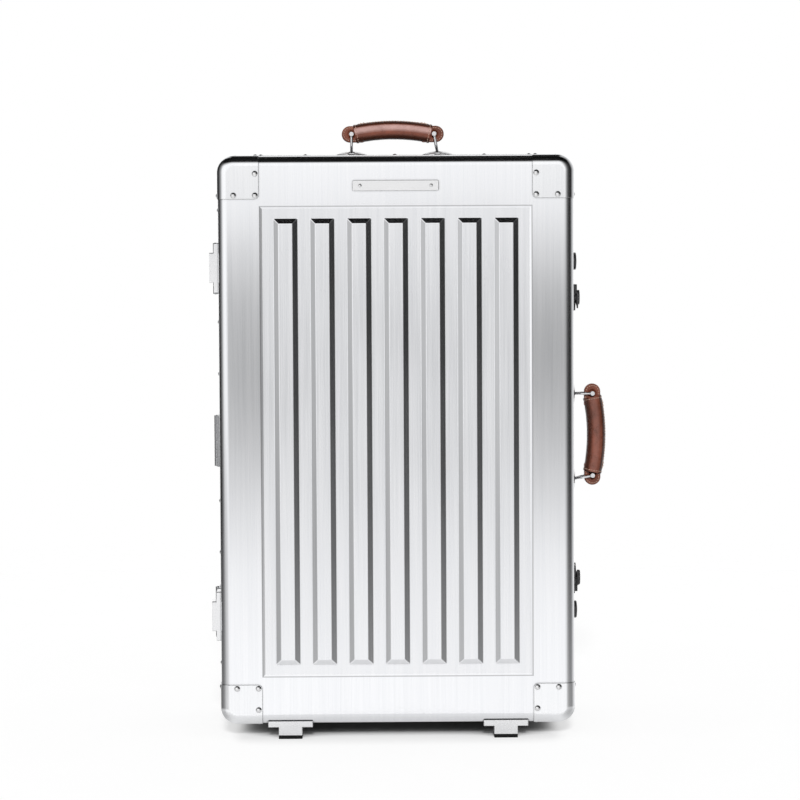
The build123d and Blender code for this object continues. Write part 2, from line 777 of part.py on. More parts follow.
# Feet: two under the front edge with rubber pads, and pairs on the left side of each half.
foot_y = front_y + foot_front
block_top = bottom_z - foot_flange_drop
with BuildPart() as front_feet:
    with BuildSketch(Plane((0, foot_y, 0), x_dir=(1, 0, 0), z_dir=(0, -1, 0))):
        with Locations((-foot_x, 0), (foot_x, 0)):
            with Locations((0, block_top)):
                flange_height = foot_flange_drop + foot_flange_rise
                Rectangle(foot_flange_width, flange_height, align=(Align.CENTER, Align.MIN))
            with Locations((0, pad_thickness)):
                Rectangle(foot_block_width, block_top - pad_thickness, align=(Align.CENTER, Align.MIN))
    extrude(amount=-foot_length)
    add(half_block(front_view, 0, front_depth, seat_gap), mode=Mode.SUBTRACT)
    fillet(front_feet.edges().filter_by(Axis.Z), foot_edge)
save(front_feet, "front_feet")

with BuildPart() as foot_pads:
    with Locations(*[(x, foot_y + foot_length / 2, 0) for x in (-foot_x, foot_x)]):
        Box(foot_block_width, foot_length, pad_thickness, align=(Align.CENTER, Align.CENTER, Align.MIN))
    fillet(foot_pads.edges().filter_by(Axis.Z), foot_edge)
save(foot_pads, "foot_pads")


def side_feet(middle_y):
    with BuildPart() as feet:
        for step in (-1, 1):
            middle = (-side_x, middle_y, mid_z - side_foot_drop + step * side_foot_spacing)
            base = Plane(middle, x_dir=(0, 1, 0), z_dir=(-1, 0, 0))
            with BuildSketch(base):
                Rectangle(side_foot_length, side_foot_height)
            extrude(amount=side_foot_flange)
            with BuildSketch(base):
                Rectangle(side_foot_length, side_foot_block)
            extrude(amount=side_foot_reach)
        fillet(feet.edges().filter_by(Axis.X), side_foot_edge)
    return feet


side_foot_middle = side_foot_setback + side_foot_length / 2
save(side_feet(front_y + side_foot_middle), "front_side_feet")
save(side_feet(rear_y - side_foot_middle), "rear_side_feet")


# Wheels in pockets at the rear bottom edge.
axle_y = rear_y - wheel_setback
pocket = housing_width - 2 * housing_wall
with BuildPart() as wheel_housings:
    with Locations(*housing_places):
        Box(housing_width, housing_depth, housing_height)
    add(half_block(rear_view, 0, rear_depth), mode=Mode.INTERSECT)
    with Locations(*[(x, y + housing_wall, z - housing_wall) for x, y, z in housing_places]):
        Box(pocket, housing_depth, housing_height, mode=Mode.SUBTRACT)
    with Locations(*[(x, axle_y, wheel_radius) for x, y, z in housing_places]):
        Cylinder(axle_radius + seat_gap / 2, housing_width, rotation=(0, 90, 0), mode=Mode.SUBTRACT)
save(wheel_housings, "wheel_housings")

with BuildPart() as wheel_axles:
    with Locations(*[(x, axle_y, wheel_radius) for x, y, z in housing_places]):
        Cylinder(axle_radius, housing_width, rotation=(0, 90, 0))
save(wheel_axles, "wheel_axles")

for side, x_side in sides.items():
    wheel_plane = Plane((x_side * wheel_x, axle_y, wheel_radius), x_dir=(0, 1, 0), z_dir=(1, 0, 0))
    with BuildPart() as wheel_hub:
        with BuildSketch(wheel_plane):
            Circle(hub_radius)
        extrude(amount=wheel_width / 2, both=True)
        with BuildSketch(wheel_plane):
            Circle(boss_radius)
        extrude(amount=pocket / 2 - boss_gap, both=True)
        with BuildSketch(wheel_plane):
            Circle(axle_radius + running_gap)
        extrude(amount=pocket, both=True, mode=Mode.SUBTRACT)
    save(wheel_hub, f"wheel_hub_{side}")

    with BuildPart() as wheel_tyre:
        with BuildSketch(wheel_plane):
            Circle(wheel_radius)
        extrude(amount=wheel_width / 2, both=True)
        fillet(wheel_tyre.edges().filter_by(GeomType.CIRCLE), tyre_round)
        with BuildSketch(wheel_plane):
            Circle(hub_radius + seat_gap)
        extrude(amount=wheel_width, both=True, mode=Mode.SUBTRACT)
    save(wheel_tyre, f"wheel_tyre_{side}")


# Pull handle: tubes behind the rear lining, a cup in the top wall and a grip that rests in it.
tube_y = rear_y - tube_setback
outer_tube_bore = inner_tube_radius + slide_gap
outer_tube_radius = outer_tube_bore + tube_wall
cup_floor_z = top_z - cup_depth
grip_top_z = top_z - pull_grip_drop
grip_bottom_z = grip_top_z - pull_grip_height
tube_places = [(-tube_spread, 0), (tube_spread, 0)]


def tube_plane(z):
    return Plane((0, tube_y, z), x_dir=(1, 0, 0), z_dir=(0, 0, 1))


with BuildPart() as pull_cup:
    with Locations((0, cup_y, cup_z)):
        Box(cup_width, cup_length, cup_depth)
    add(half_block(rear_view, 0, rear_depth), mode=Mode.INTERSECT)
    with Locations((0, cup_y, cup_z + cup_wall)):
        Box(cup_width - 2 * cup_wall, cup_length - 2 * cup_wall, cup_depth, mode=Mode.SUBTRACT)
    with BuildSketch(tube_plane(cup_floor_z)):
        with Locations(*tube_places):
            Circle(outer_tube_bore)
    extrude(amount=cup_wall, mode=Mode.SUBTRACT)
save(pull_cup, "pull_cup")

with BuildPart() as pull_outer_tubes:
    with BuildSketch(tube_plane(bottom_z + outer_tube_bottom)):
        with Locations(*tube_places):
            Circle(outer_tube_radius)
            Circle(outer_tube_bore, mode=Mode.SUBTRACT)
    extrude(amount=cup_floor_z - bottom_z - outer_tube_bottom)
save(pull_outer_tubes, "pull_outer_tubes")

with BuildPart() as pull_inner_tubes:
    with BuildSketch(tube_plane(bottom_z + inner_tube_bottom)):
        with Locations(*tube_places):
            Circle(inner_tube_radius)
            Circle(inner_tube_radius - tube_wall, mode=Mode.SUBTRACT)
    extrude(amount=grip_bottom_z + pull_socket - bottom_z - inner_tube_bottom)
save(pull_inner_tubes, "pull_inner_tubes")

with BuildPart() as pull_grip:
    with BuildSketch(tube_plane(grip_bottom_z)):
        RectangleRounded(pull_grip_width, pull_grip_length, pull_grip_corner)
    extrude(amount=pull_grip_height)
    fillet(pull_grip.faces().sort_by(Axis.Z)[-1].edges(), pull_grip_round)
    with BuildSketch(tube_plane(grip_bottom_z)):
        with Locations(*tube_places):
            Circle(inner_tube_radius + seat_gap)
    extrude(amount=pull_socket, mode=Mode.SUBTRACT)
    with BuildSketch(tube_plane(grip_top_z)):
        SlotOverall(button_width + 2 * button_gap, button_length + 2 * button_gap)
    extrude(amount=button_proud - button_height - button_travel - button_gap, mode=Mode.SUBTRACT)
save(pull_grip, "pull_grip")

with BuildPart() as pull_button:
    with BuildSketch(tube_plane(grip_top_z + button_proud)):
        SlotOverall(button_width, button_length)
    extrude(amount=-button_height)
    fillet(pull_button.faces().sort_by(Axis.Z)[-1].edges(), button_edge)
save(pull_button, "pull_button")

with BuildPart() as pull_bracket:
    with BuildSketch(tube_plane(bottom_z + wall)):
        Rectangle(bracket_width, bracket_length)
    extrude(amount=bracket_height)
    with BuildSketch(tube_plane(bottom_z + outer_tube_bottom)):
        with Locations(*tube_places):
            Circle(outer_tube_radius + seat_gap)
    extrude(amount=bracket_height, mode=Mode.SUBTRACT)
save(pull_bracket, "pull_bracket")
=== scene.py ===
import bpy
import bmesh
import math
from mathutils import Matrix, Vector, noise


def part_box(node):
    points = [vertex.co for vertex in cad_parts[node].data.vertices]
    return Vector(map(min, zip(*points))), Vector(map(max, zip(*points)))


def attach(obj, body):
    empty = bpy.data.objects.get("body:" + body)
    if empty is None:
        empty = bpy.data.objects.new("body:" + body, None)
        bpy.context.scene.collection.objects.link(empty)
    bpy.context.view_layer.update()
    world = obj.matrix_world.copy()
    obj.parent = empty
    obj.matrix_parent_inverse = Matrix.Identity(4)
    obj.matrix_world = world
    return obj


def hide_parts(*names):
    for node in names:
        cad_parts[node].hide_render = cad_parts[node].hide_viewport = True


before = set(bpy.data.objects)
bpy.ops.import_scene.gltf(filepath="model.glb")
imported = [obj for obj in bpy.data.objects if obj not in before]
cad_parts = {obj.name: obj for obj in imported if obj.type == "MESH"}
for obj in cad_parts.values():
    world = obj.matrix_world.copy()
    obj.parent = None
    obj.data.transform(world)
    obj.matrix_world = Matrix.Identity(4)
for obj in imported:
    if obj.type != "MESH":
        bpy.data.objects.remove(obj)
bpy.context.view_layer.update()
scene = bpy.context.scene
scene.view_settings.view_transform = "Standard"
print("suitcase frame loaded,", len(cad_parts), "nodes")


# camera, standing where the photograph was taken from
camera = {
    "place": (-0.0278, -3.425, 0.5798),
    "yaw": 0.553,  # degrees, towards +X
    "pitch": 2.807,  # degrees, downwards
    "roll": -0.295,
    "lens": 121.3,
}


def standCamera(spec):
    data = bpy.data.cameras.new("studioCamera")
    data.lens = spec["lens"]
    data.sensor_width = 36.0
    data.clip_end = 50.0
    stand = bpy.data.objects.new("studioCamera", data)
    turn = Matrix.Rotation(math.radians(-spec["yaw"]), 4, "Z")
    turn = turn @ Matrix.Rotation(math.radians(90.0 - spec["pitch"]), 4, "X")
    turn = turn @ Matrix.Rotation(math.radians(spec["roll"]), 4, "Z")
    stand.matrix_world = Matrix.Translation(spec["place"]) @ turn
    scene.collection.objects.link(stand)
    scene.camera = stand


standCamera(camera)
print("camera placed")


# small helpers for the node trees
def addNode(tree, kind, **settings):
    node = tree.nodes.new("ShaderNode" + kind)
    for key, value in settings.items():
        setattr(node, key, value)
    return node


def plug(tree, node, name, value):
    socket = node.inputs[name]
    if isinstance(value, bpy.types.NodeSocket):
        tree.links.new(value, socket)
    else:
        socket.default_value = value


def doMath(tree, kind, a, b=0.0):
    node = addNode(tree, "Math", operation=kind)
    plug(tree, node, 0, a)
    plug(tree, node, 1, b)
    return node.outputs[0]


def spread(tree, value, low, high, toLow=0.0, toHigh=1.0, smooth=False):
    node = addNode(tree, "MapRange", interpolation_type="SMOOTHSTEP" if smooth else "LINEAR")
    plug(tree, node, "Value", value)
    plug(tree, node, "From Min", low)
    plug(tree, node, "From Max", high)
    plug(tree, node, "To Min", toLow)
    plug(tree, node, "To Max", toHigh)
    return node.outputs["Result"]


def mixTone(tree, factor, a, b, blend="MIX"):
    node = addNode(tree, "Mix", data_type="RGBA", blend_type=blend)
    plug(tree, node, 0, factor)
    for place, tone in ((6, a), (7, b)):
        plug(tree, node, place, (*tone, 1.0) if isinstance(tone, tuple) else tone)
    return node.outputs[2]


def ramp(tree, value, stops):
    node = addNode(tree, "ValToRGB")
    bar = node.color_ramp
    while len(bar.elements) < len(stops):
        bar.elements.new(0.5)
    for element, (place, level) in zip(bar.elements, stops):
        element.position = place
        element.color = (level, level, level, 1.0)
    plug(tree, node, "Fac", value)
    return node.outputs["Color"]


def grain(tree, where, scale, detail=2.0, rough=0.5, distort=0.0):
    stretch = addNode(tree, "Mapping")
    plug(tree, stretch, "Vector", where)
    plug(tree, stretch, "Scale", scale if isinstance(scale, tuple) else (scale,) * 3)
    node = addNode(tree, "TexNoise")
    plug(tree, node, "Vector", stretch.outputs[0])
    plug(tree, node, "Scale", 1.0)
    plug(tree, node, "Detail", detail)
    plug(tree, node, "Roughness", rough)
    plug(tree, node, "Distortion", distort)
    return node.outputs["Fac"]


def emboss(tree, height, depth, strength=1.0, normal=None):
    node = addNode(tree, "Bump")
    plug(tree, node, "Height", height)
    plug(tree, node, "Distance", depth)
    plug(tree, node, "Strength", strength)
    if normal is not None:
        plug(tree, node, "Normal", normal)
    return node.outputs["Normal"]


def softEdges(tree, radius):
    node = addNode(tree, "Bevel", samples=4)
    plug(tree, node, "Radius", radius)
    return node.outputs["Normal"]


def edgeWear(tree, radius, where, patch=90.0):
    rounded = softEdges(tree, radius)
    facing = addNode(tree, "NewGeometry").outputs["Normal"]
    turn = addNode(tree, "VectorMath", operation="DOT_PRODUCT")
    plug(tree, turn, 0, rounded)
    plug(tree, turn, 1, facing)
    wearAndPaintedHighlight = spread(tree, turn.outputs["Value"], 0.995, 0.90)
    return doMath(tree, "MULTIPLY", wearAndPaintedHighlight, spread(tree, grain(tree, where, patch, 4.0, 0.6), 0.42, 0.62))


# painted shade: darkens the colour where ambient occlusion finds creases, gaps and recesses
def paintedCreviceShade(tree, reach, clear=0.92, shut=0.50, floor=0.25):
    node = addNode(tree, "AmbientOcclusion", samples=6)
    plug(tree, node, "Distance", reach)
    return spread(tree, node.outputs["AO"], shut, clear, floor, 1.0)


def startFinish(name):
    finish = bpy.data.materials.new(name)
    finish.use_nodes = True
    tree = finish.node_tree
    shader = tree.nodes["Principled BSDF"]
    where = addNode(tree, "TexCoord").outputs["Object"]
    return finish, tree, shader, where


# brushed sheet metal, the grain running up and down
brushedSheet = {
    "pale": (0.94, 0.945, 0.965),
    "dark": (0.86, 0.87, 0.895),
    "rough": (0.14, 0.17),
    "panelHalf": (0.1665, 0.289),
    "panelMiddle": 0.36635,
    "panelRough": 0.84,  # share of the border's roughness
    "fine": (1500.0, 1500.0, 9.0),  # grain to the metre, along each axis
    "broad": (160.0, 160.0, 3.0),
    "cloud": (9.0, 9.0, 5.0),
    "stretch": 0.9,
    "scratch": 0.00002,
    "wave": 0.0008,
    # crease: the reach of the painted crevice shade
    "crease": 0.003,
    "stepShadeWide": 0.0008,  # painted shade line along the pressed step around the panel
    "stepShadeTone": 0.60,
}


def brushedSheetFinish(name, spec):
    finish, tree, shader, where = startFinish(name)
    fine = grain(tree, where, spec["fine"], 3.0, 0.65)
    broad = grain(tree, where, spec["broad"], 3.0, 0.55)
    cloud = grain(tree, where, spec["cloud"], 2.0)
    streak = doMath(tree, "ADD", doMath(tree, "MULTIPLY", fine, 0.5), doMath(tree, "MULTIPLY", broad, 0.5))
    tone = mixTone(tree, spread(tree, streak, 0.35, 0.65), spec["dark"], spec["pale"])
    # painted shade in creases and round caps, rivets and frames
    tone = mixTone(tree, 1.0, tone, paintedCreviceShade(tree, spec["crease"]), "MULTIPLY")
    rough = spread(tree, cloud, 0.3, 0.7, *spec["rough"])
    rough = doMath(tree, "ADD", rough, spread(tree, streak, 0.35, 0.65, -0.015, 0.015))
    axes = addNode(tree, "SeparateXYZ")
    plug(tree, axes, 0, where)
    across = doMath(tree, "ABSOLUTE", axes.outputs["X"])
    upward = doMath(tree, "ABSOLUTE", doMath(tree, "SUBTRACT", axes.outputs["Z"], spec["panelMiddle"]))
    inside = doMath(
        tree, "MULTIPLY",
        doMath(tree, "LESS_THAN", across, spec["panelHalf"][0]),
        doMath(tree, "LESS_THAN", upward, spec["panelHalf"][1]),
    )
    # painted shade line along the step round the panel
    beside = doMath(tree, "SUBTRACT", across, spec["panelHalf"][0])
    over = doMath(tree, "SUBTRACT", upward, spec["panelHalf"][1])
    step = doMath(tree, "ABSOLUTE", doMath(tree, "MAXIMUM", beside, over))
    line = spread(tree, step, spec["stepShadeWide"] * 0.6, spec["stepShadeWide"] * 1.2, spec["stepShadeTone"], 1.0)
    plug(tree, shader, "Base Color", mixTone(tree, 1.0, tone, line, "MULTIPLY"))
    rough = doMath(tree, "MULTIPLY", rough, spread(tree, inside, 0.0, 1.0, 1.0, spec["panelRough"]))
    plug(tree, shader, "Roughness", rough)
    shader.inputs["Metallic"].default_value = 1.0
    shader.inputs["Anisotropic"].default_value = spec["stretch"]
    level = addNode(tree, "Tangent", direction_type="RADIAL", axis="Z").outputs[0]
    plug(tree, shader, "Tangent", mixTone(tree, inside, level, (0.0, 0.0, 1.0)))  # rolled the other way
    waved = emboss(tree, cloud, spec["wave"], 0.2)
    plug(tree, shader, "Normal", emboss(tree, streak, spec["scratch"], 0.6, waved))
    return finish


# cast, turned and drawn metal of the fittings
fittingMetals = {
    "frame_aluminium": {
        "pale": (0.94, 0.945, 0.955), "dark": (0.86, 0.865, 0.88), "rough": (0.20, 0.28),
        "drawn": (40.0, 900.0, 40.0), "round": 0.0006,
    },
    "cap_aluminium": {
        "pale": (0.95, 0.955, 0.97), "dark": (0.87, 0.88, 0.90), "rough": (0.12, 0.18),
        "drawn": (900.0, 900.0, 12.0), "round": 0.0005,
    },
    "rivet_steel": {
        "pale": (0.92, 0.92, 0.925), "dark": (0.78, 0.78, 0.79), "rough": (0.10, 0.18),
        "drawn": (700.0, 700.0, 700.0), "round": 0.0004,
    },
    "plate_metal": {
        "pale": (0.93, 0.93, 0.935), "dark": (0.90, 0.90, 0.91), "rough": (0.22, 0.25),
        "drawn": (12.0, 900.0, 1100.0), "round": 0.0004,
    },
    "polished_metal": {
        "pale": (0.90, 0.90, 0.905), "dark": (0.76, 0.76, 0.775), "rough": (0.28, 0.38),
        "drawn": (420.0, 420.0, 420.0), "round": 0.0004,
    },
    "hinge_steel": {
        "pale": (0.46, 0.465, 0.475), "dark": (0.36, 0.365, 0.375), "rough": (0.22, 0.32),
        "drawn": (30.0, 600.0, 600.0), "round": 0.0004,
    },
    "base_nickel": {
        "pale": (0.95, 0.95, 0.955), "dark": (0.88, 0.88, 0.89), "rough": (0.30, 0.40),
        "drawn": (500.0, 500.0, 500.0), "round": 0.0006,
    },
    "pin_steel": {
        "pale": (0.70, 0.70, 0.71), "dark": (0.52, 0.52, 0.54), "rough": (0.16, 0.28),
        "drawn": (500.0, 500.0, 500.0), "round": 0.0003,
    },
    "foot_metal": {
        "pale": (0.96, 0.96, 0.97), "dark": (0.87, 0.875, 0.89), "rough": (0.22, 0.32),
        "drawn": (500.0, 30.0, 500.0), "round": 0.0007,
    },
    "tube_aluminium": {
        "pale": (0.80, 0.805, 0.82), "dark": (0.66, 0.665, 0.685), "rough": (0.22, 0.32),
        "drawn": (900.0, 900.0, 14.0), "round": 0.0003,
    },
    "lock_brass": {
        "pale": (0.78, 0.58, 0.27), "dark": (0.58, 0.40, 0.16), "rough": (0.16, 0.28),
        "drawn": (600.0, 600.0, 600.0), "round": 0.0003,
    },
}


# crease is the reach of the painted crevice shade
fittingWear = {"cloud": 35.0, "edge": 0.0012, "edgeRough": 0.10, "crease": 0.0025, "scratch": 0.00002}


def fittingFinish(name, spec, wear):
    finish, tree, shader, where = startFinish(name)
    lines = grain(tree, where, spec["drawn"], 3.0, 0.6)
    cloud = grain(tree, where, wear["cloud"], 3.0, 0.55)
    wearAndPaintedHighlight = edgeWear(tree, wear["edge"], where)
    mottle = spread(tree, doMath(tree, "ADD", lines, cloud), 0.7, 1.3)
    tone = mixTone(tree, mottle, spec["dark"], spec["pale"])
    tone = mixTone(tree, wearAndPaintedHighlight, tone, spec["pale"])
    # colour darkened by painted shade in creases and gaps
    plug(tree, shader, "Base Color", mixTone(tree, 1.0, tone, paintedCreviceShade(tree, wear["crease"]), "MULTIPLY"))
    rough = spread(tree, cloud, 0.3, 0.7, *spec["rough"])
    rough = doMath(tree, "ADD", rough, doMath(tree, "MULTIPLY", wearAndPaintedHighlight, wear["edgeRough"]))
    plug(tree, shader, "Roughness", rough)
    shader.inputs["Metallic"].default_value = 1.0
    plug(tree, shader, "Normal", emboss(tree, lines, wear["scratch"], 0.5, softEdges(tree, spec["round"])))
    return finish


# black enamel, rubber and moulded plastics
darkCoats = {
    "latch_black": {
        "tone": (0.014, 0.014, 0.015), "wearAndPaintedHighlight": (0.22, 0.22, 0.23), "rough": (0.24, 0.36),
        "cell": 1400.0, "depth": 0.00002, "wear": 0.5, "shine": 0.5,
    },
    "black_rubber": {
        "tone": (0.005, 0.005, 0.005), "wearAndPaintedHighlight": (0.02, 0.02, 0.02), "rough": (0.55, 0.75),
        "cell": 900.0, "depth": 0.00005, "wear": 0.5, "shine": 0.15,
    },
    "wheel_rubber": {
        "tone": (0.016, 0.016, 0.017), "wearAndPaintedHighlight": (0.07, 0.068, 0.065), "rough": (0.50, 0.72),
        "cell": 700.0, "depth": 0.00006, "wear": 0.8, "shine": 0.35,
    },
    "wheel_plastic": {
        "tone": (0.045, 0.046, 0.05), "wearAndPaintedHighlight": (0.10, 0.10, 0.105), "rough": (0.30, 0.45),
        "cell": 1200.0, "depth": 0.00003, "wear": 0.5, "shine": 0.5,
    },
    "black_plastic": {
        "tone": (0.020, 0.020, 0.022), "wearAndPaintedHighlight": (0.07, 0.07, 0.073), "rough": (0.34, 0.50),
        "cell": 1100.0, "depth": 0.00004, "wear": 0.5, "shine": 0.5,
    },
    "button_plastic": {
        "tone": (0.11, 0.11, 0.115), "wearAndPaintedHighlight": (0.20, 0.20, 0.20), "rough": (0.30, 0.42),
        "cell": 1100.0, "depth": 0.00003, "wear": 0.5, "shine": 0.5,
    },
}


coatWear = {"cloud": 60.0, "edge": 0.0010, "patch": 160.0, "round": 0.0005, "lighter": 1.8}


def darkCoatFinish(name, spec, wear):
    finish, tree, shader, where = startFinish(name)
    cloud = grain(tree, where, wear["cloud"], 4.0, 0.6)
    speck = grain(tree, where, spec["cell"], 3.0, 0.6)
    wearAndPaintedHighlight = doMath(tree, "MULTIPLY", edgeWear(tree, wear["edge"], where, wear["patch"]), spec["wear"])
    lighter = tuple(min(1.0, wear["lighter"] * part) for part in spec["tone"])
    tone = mixTone(tree, spread(tree, cloud, 0.35, 0.7), spec["tone"], lighter)
    plug(tree, shader, "Base Color", mixTone(tree, wearAndPaintedHighlight, tone, spec["wearAndPaintedHighlight"]))
    mottle = doMath(tree, "ADD", cloud, speck)
    plug(tree, shader, "Roughness", spread(tree, mottle, 0.75, 1.25, *spec["rough"]))
    shader.inputs["Specular IOR Level"].default_value = spec["shine"]
    plug(tree, shader, "Normal", emboss(tree, speck, spec["depth"], 0.6, softEdges(tree, wear["round"])))
    return finish


# leather of the two carrying grips, and its thread
gripLeather = {
    "deep": (0.085, 0.022, 0.010),
    "mid": (0.235, 0.068, 0.039),
    "rubbed": (0.33, 0.145, 0.100),
    # colour of the painted highlight band on the grips
    "wearAndPaintedHighlight": (0.56, 0.36, 0.33),
    # colour of the darker seam band and of the painted underside shade
    "seamDarkAndShade": (0.034, 0.010, 0.005),
    "rough": (0.24, 0.38),
    "shine": 0.45,
    "polish": 0.12,
    "polishRough": 0.30,
    "cloud": 70.0,
    "blotch": 24.0,
    "crease": 260.0,
    "creaseDepth": 0.00025,
    "cell": 950.0,  # pebbles to the metre
    "cellShift": 0.0006,
    "cellDepth": 0.00008,
    "edge": 0.003,
    "edgePatch": 120.0,
    "edgeShare": 0.55,
}


def leatherFinish(name, spec):
    finish, tree, shader, where = startFinish(name)
    cloud = grain(tree, where, spec["cloud"], 4.0, 0.6, 0.4)
    blotch = grain(tree, where, spec["blotch"], 2.0)
    cells = addNode(tree, "TexVoronoi", feature="DISTANCE_TO_EDGE")
    warp = addNode(tree, "VectorMath", operation="ADD")
    plug(tree, warp, 0, where)
    shift = addNode(tree, "VectorMath", operation="SCALE")
    plug(tree, shift, 0, addNode(tree, "TexNoise").outputs["Color"])
    plug(tree, shift, "Scale", spec["cellShift"])
    plug(tree, warp, 1, shift.outputs[0])
    plug(tree, cells, "Vector", warp.outputs[0])
    plug(tree, cells, "Scale", spec["cell"])
    pebble = spread(tree, cells.outputs["Distance"], 0.0, 0.22, smooth=True)
    crease = grain(tree, where, spec["crease"], 5.0, 0.62, 1.2)
    patchy = spread(tree, doMath(tree, "ADD", cloud, blotch), 0.72, 1.25)
    tone = mixTone(tree, patchy, spec["deep"], spec["mid"])
    rubbed = edgeWear(tree, spec["edge"], where, spec["edgePatch"])
    tone = mixTone(tree, doMath(tree, "MULTIPLY", rubbed, spec["edgeShare"]), tone, spec["rubbed"])
    tone = mixTone(tree, spread(tree, pebble, 0.0, 1.0, 0.35, 0.0), tone, spec["deep"])
    # painted highlight band along the upper front of the grip, from the mesh attribute
    wearAndPaintedHighlight = addNode(tree, "Attribute", attribute_name="wearAndPaintedHighlight").outputs["Fac"]
    wearAndPaintedHighlight = doMath(tree, "MULTIPLY", wearAndPaintedHighlight, spread(tree, cloud, 0.25, 0.65, 0.70, 1.0))
    tone = mixTone(tree, wearAndPaintedHighlight, tone, spec["wearAndPaintedHighlight"])
    # darker band along the seam and painted shade along the underside, from the mesh attribute
    seamDarkAndShade = addNode(tree, "Attribute", attribute_name="seamDarkAndShade").outputs["Fac"]
    seamDarkAndShade = doMath(tree, "MULTIPLY", seamDarkAndShade, spread(tree, cloud, 0.25, 0.6, 0.75, 1.0))
    plug(tree, shader, "Base Color", mixTone(tree, seamDarkAndShade, tone, spec["seamDarkAndShade"]))
    uneven = doMath(tree, "ADD", cloud, crease)
    plug(tree, shader, "Roughness", spread(tree, uneven, 0.75, 1.25, *spec["rough"]))
    shader.inputs["Specular IOR Level"].default_value = spec["shine"]
    shader.inputs["Coat Weight"].default_value = spec["polish"]
    shader.inputs["Coat Roughness"].default_value = spec["polishRough"]
    creased = emboss(tree, crease, spec["creaseDepth"], 0.5)
    plug(tree, shader, "Normal", emboss(tree, pebble, spec["cellDepth"], 0.6, creased))
    return finish


gripThread = {
    "pale": (0.52, 0.36, 0.28),
    "dark": (0.34, 0.20, 0.15),
    "twist": 1600.0,
    "depth": 0.00015,
    "rough": (0.55, 0.75),
    "sheen": 0.2,
}


def threadFinish(name, spec):
    finish, tree, shader, where = startFinish(name)
    twist = grain(tree, where, spec["twist"], 2.0, 0.6)
    tone = mixTone(tree, spread(tree, twist, 0.35, 0.65), spec["dark"], spec["pale"])
    plug(tree, shader, "Base Color", tone)
    plug(tree, shader, "Roughness", spread(tree, twist, 0.3, 0.7, *spec["rough"]))
    shader.inputs["Sheen Weight"].default_value = spec["sheen"]
    plug(tree, shader, "Normal", emboss(tree, twist, spec["depth"], 0.6))
    return finish


# woven cloth of the linings
liningCloth = {
    "warp": (0.070, 0.072, 0.080),
    "weft": (0.110, 0.112, 0.122),
    "pitch": 0.0007,  # from thread to thread
    "slub": (900.0, 900.0, 40.0),
    "cloud": 30.0,
    "depth": 0.00012,
    "rough": (0.6, 0.8),
    "sheen": 0.25,
}


def liningFinish(name, spec):
    finish, tree, shader, where = startFinish(name)
    axes = addNode(tree, "SeparateXYZ")
    plug(tree, axes, 0, where)
    turn = math.tau / spec["pitch"]
    threads = []
    for axis in ("X", "Z"):
        way = doMath(tree, "ADD", axes.outputs[axis], axes.outputs["Y"])
        threads.append(doMath(tree, "SINE", doMath(tree, "MULTIPLY", way, turn)))
    weave = doMath(tree, "MULTIPLY", *threads)
    cloud = grain(tree, where, spec["cloud"], 4.0, 0.6)
    slub = grain(tree, where, spec["slub"], 3.0, 0.6)
    tone = mixTone(tree, spread(tree, weave, -1.0, 1.0), spec["warp"], spec["weft"])
    uneven = spread(tree, doMath(tree, "ADD", cloud, slub), 0.8, 1.3, 0.0, 0.35)
    tone = mixTone(tree, uneven, tone, spec["weft"])
    plug(tree, shader, "Base Color", tone)
    plug(tree, shader, "Roughness", spread(tree, cloud, 0.3, 0.7, *spec["rough"]))
    shader.inputs["Sheen Weight"].default_value = spec["sheen"]
    plug(tree, shader, "Normal", emboss(tree, doMath(tree, "ADD", weave, slub), spec["depth"], 0.5))
    return finish


finishes = {"sheet_aluminium": brushedSheetFinish("sheet_aluminium", brushedSheet)}
for slotName, spec in fittingMetals.items():
    finishes[slotName] = fittingFinish(slotName, spec, fittingWear)
for slotName, spec in darkCoats.items():
    finishes[slotName] = darkCoatFinish(slotName, spec, coatWear)
finishes["brown_leather"] = leatherFinish("brown_leather", gripLeather)
finishes["lining_fabric"] = liningFinish("lining_fabric", liningCloth)
threadLook = threadFinish("gripThread", gripThread)

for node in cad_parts.values():
    slotName = node.material_slots[0].material.name.split(".")[0]
    node.material_slots[0].material = finishes[slotName]
print("finishes on", len(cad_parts), "nodes")


# small helpers for the pieces made here
def meshPiece(name, build, finish, body, subdivide=0):
    mesh = bpy.data.meshes.new(name)
    work = bmesh.new()
    build(work)
    bmesh.ops.recalc_face_normals(work, faces=work.faces)
    work.to_mesh(mesh)
    work.free()
    mesh.shade_smooth()
    piece = bpy.data.objects.new(name, mesh)
    scene.collection.objects.link(piece)
    mesh.materials.append(finish)
    if subdivide:
        smooth = piece.modifiers.new("smooth", "SUBSURF")
        smooth.levels = smooth.render_levels = subdivide
    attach(piece, body)
    return piece


def bridgeRings(work, rings, closeAlong=False):
    pairs = list(zip(rings, rings[1:])) + ([(rings[-1], rings[0])] if closeAlong else [])
    for one, two in pairs:
        count = len(one)
        for i in range(count):
            j = (i + 1) % count
            work.faces.new((one[i], one[j], two[j], two[i]))


def roundRing(work, centre, side, up, radius, count):
    turns = [math.tau * k / count for k in range(count)]
    return [work.verts.new(centre + (side * math.cos(a) + up * math.sin(a)) * radius) for a in turns]


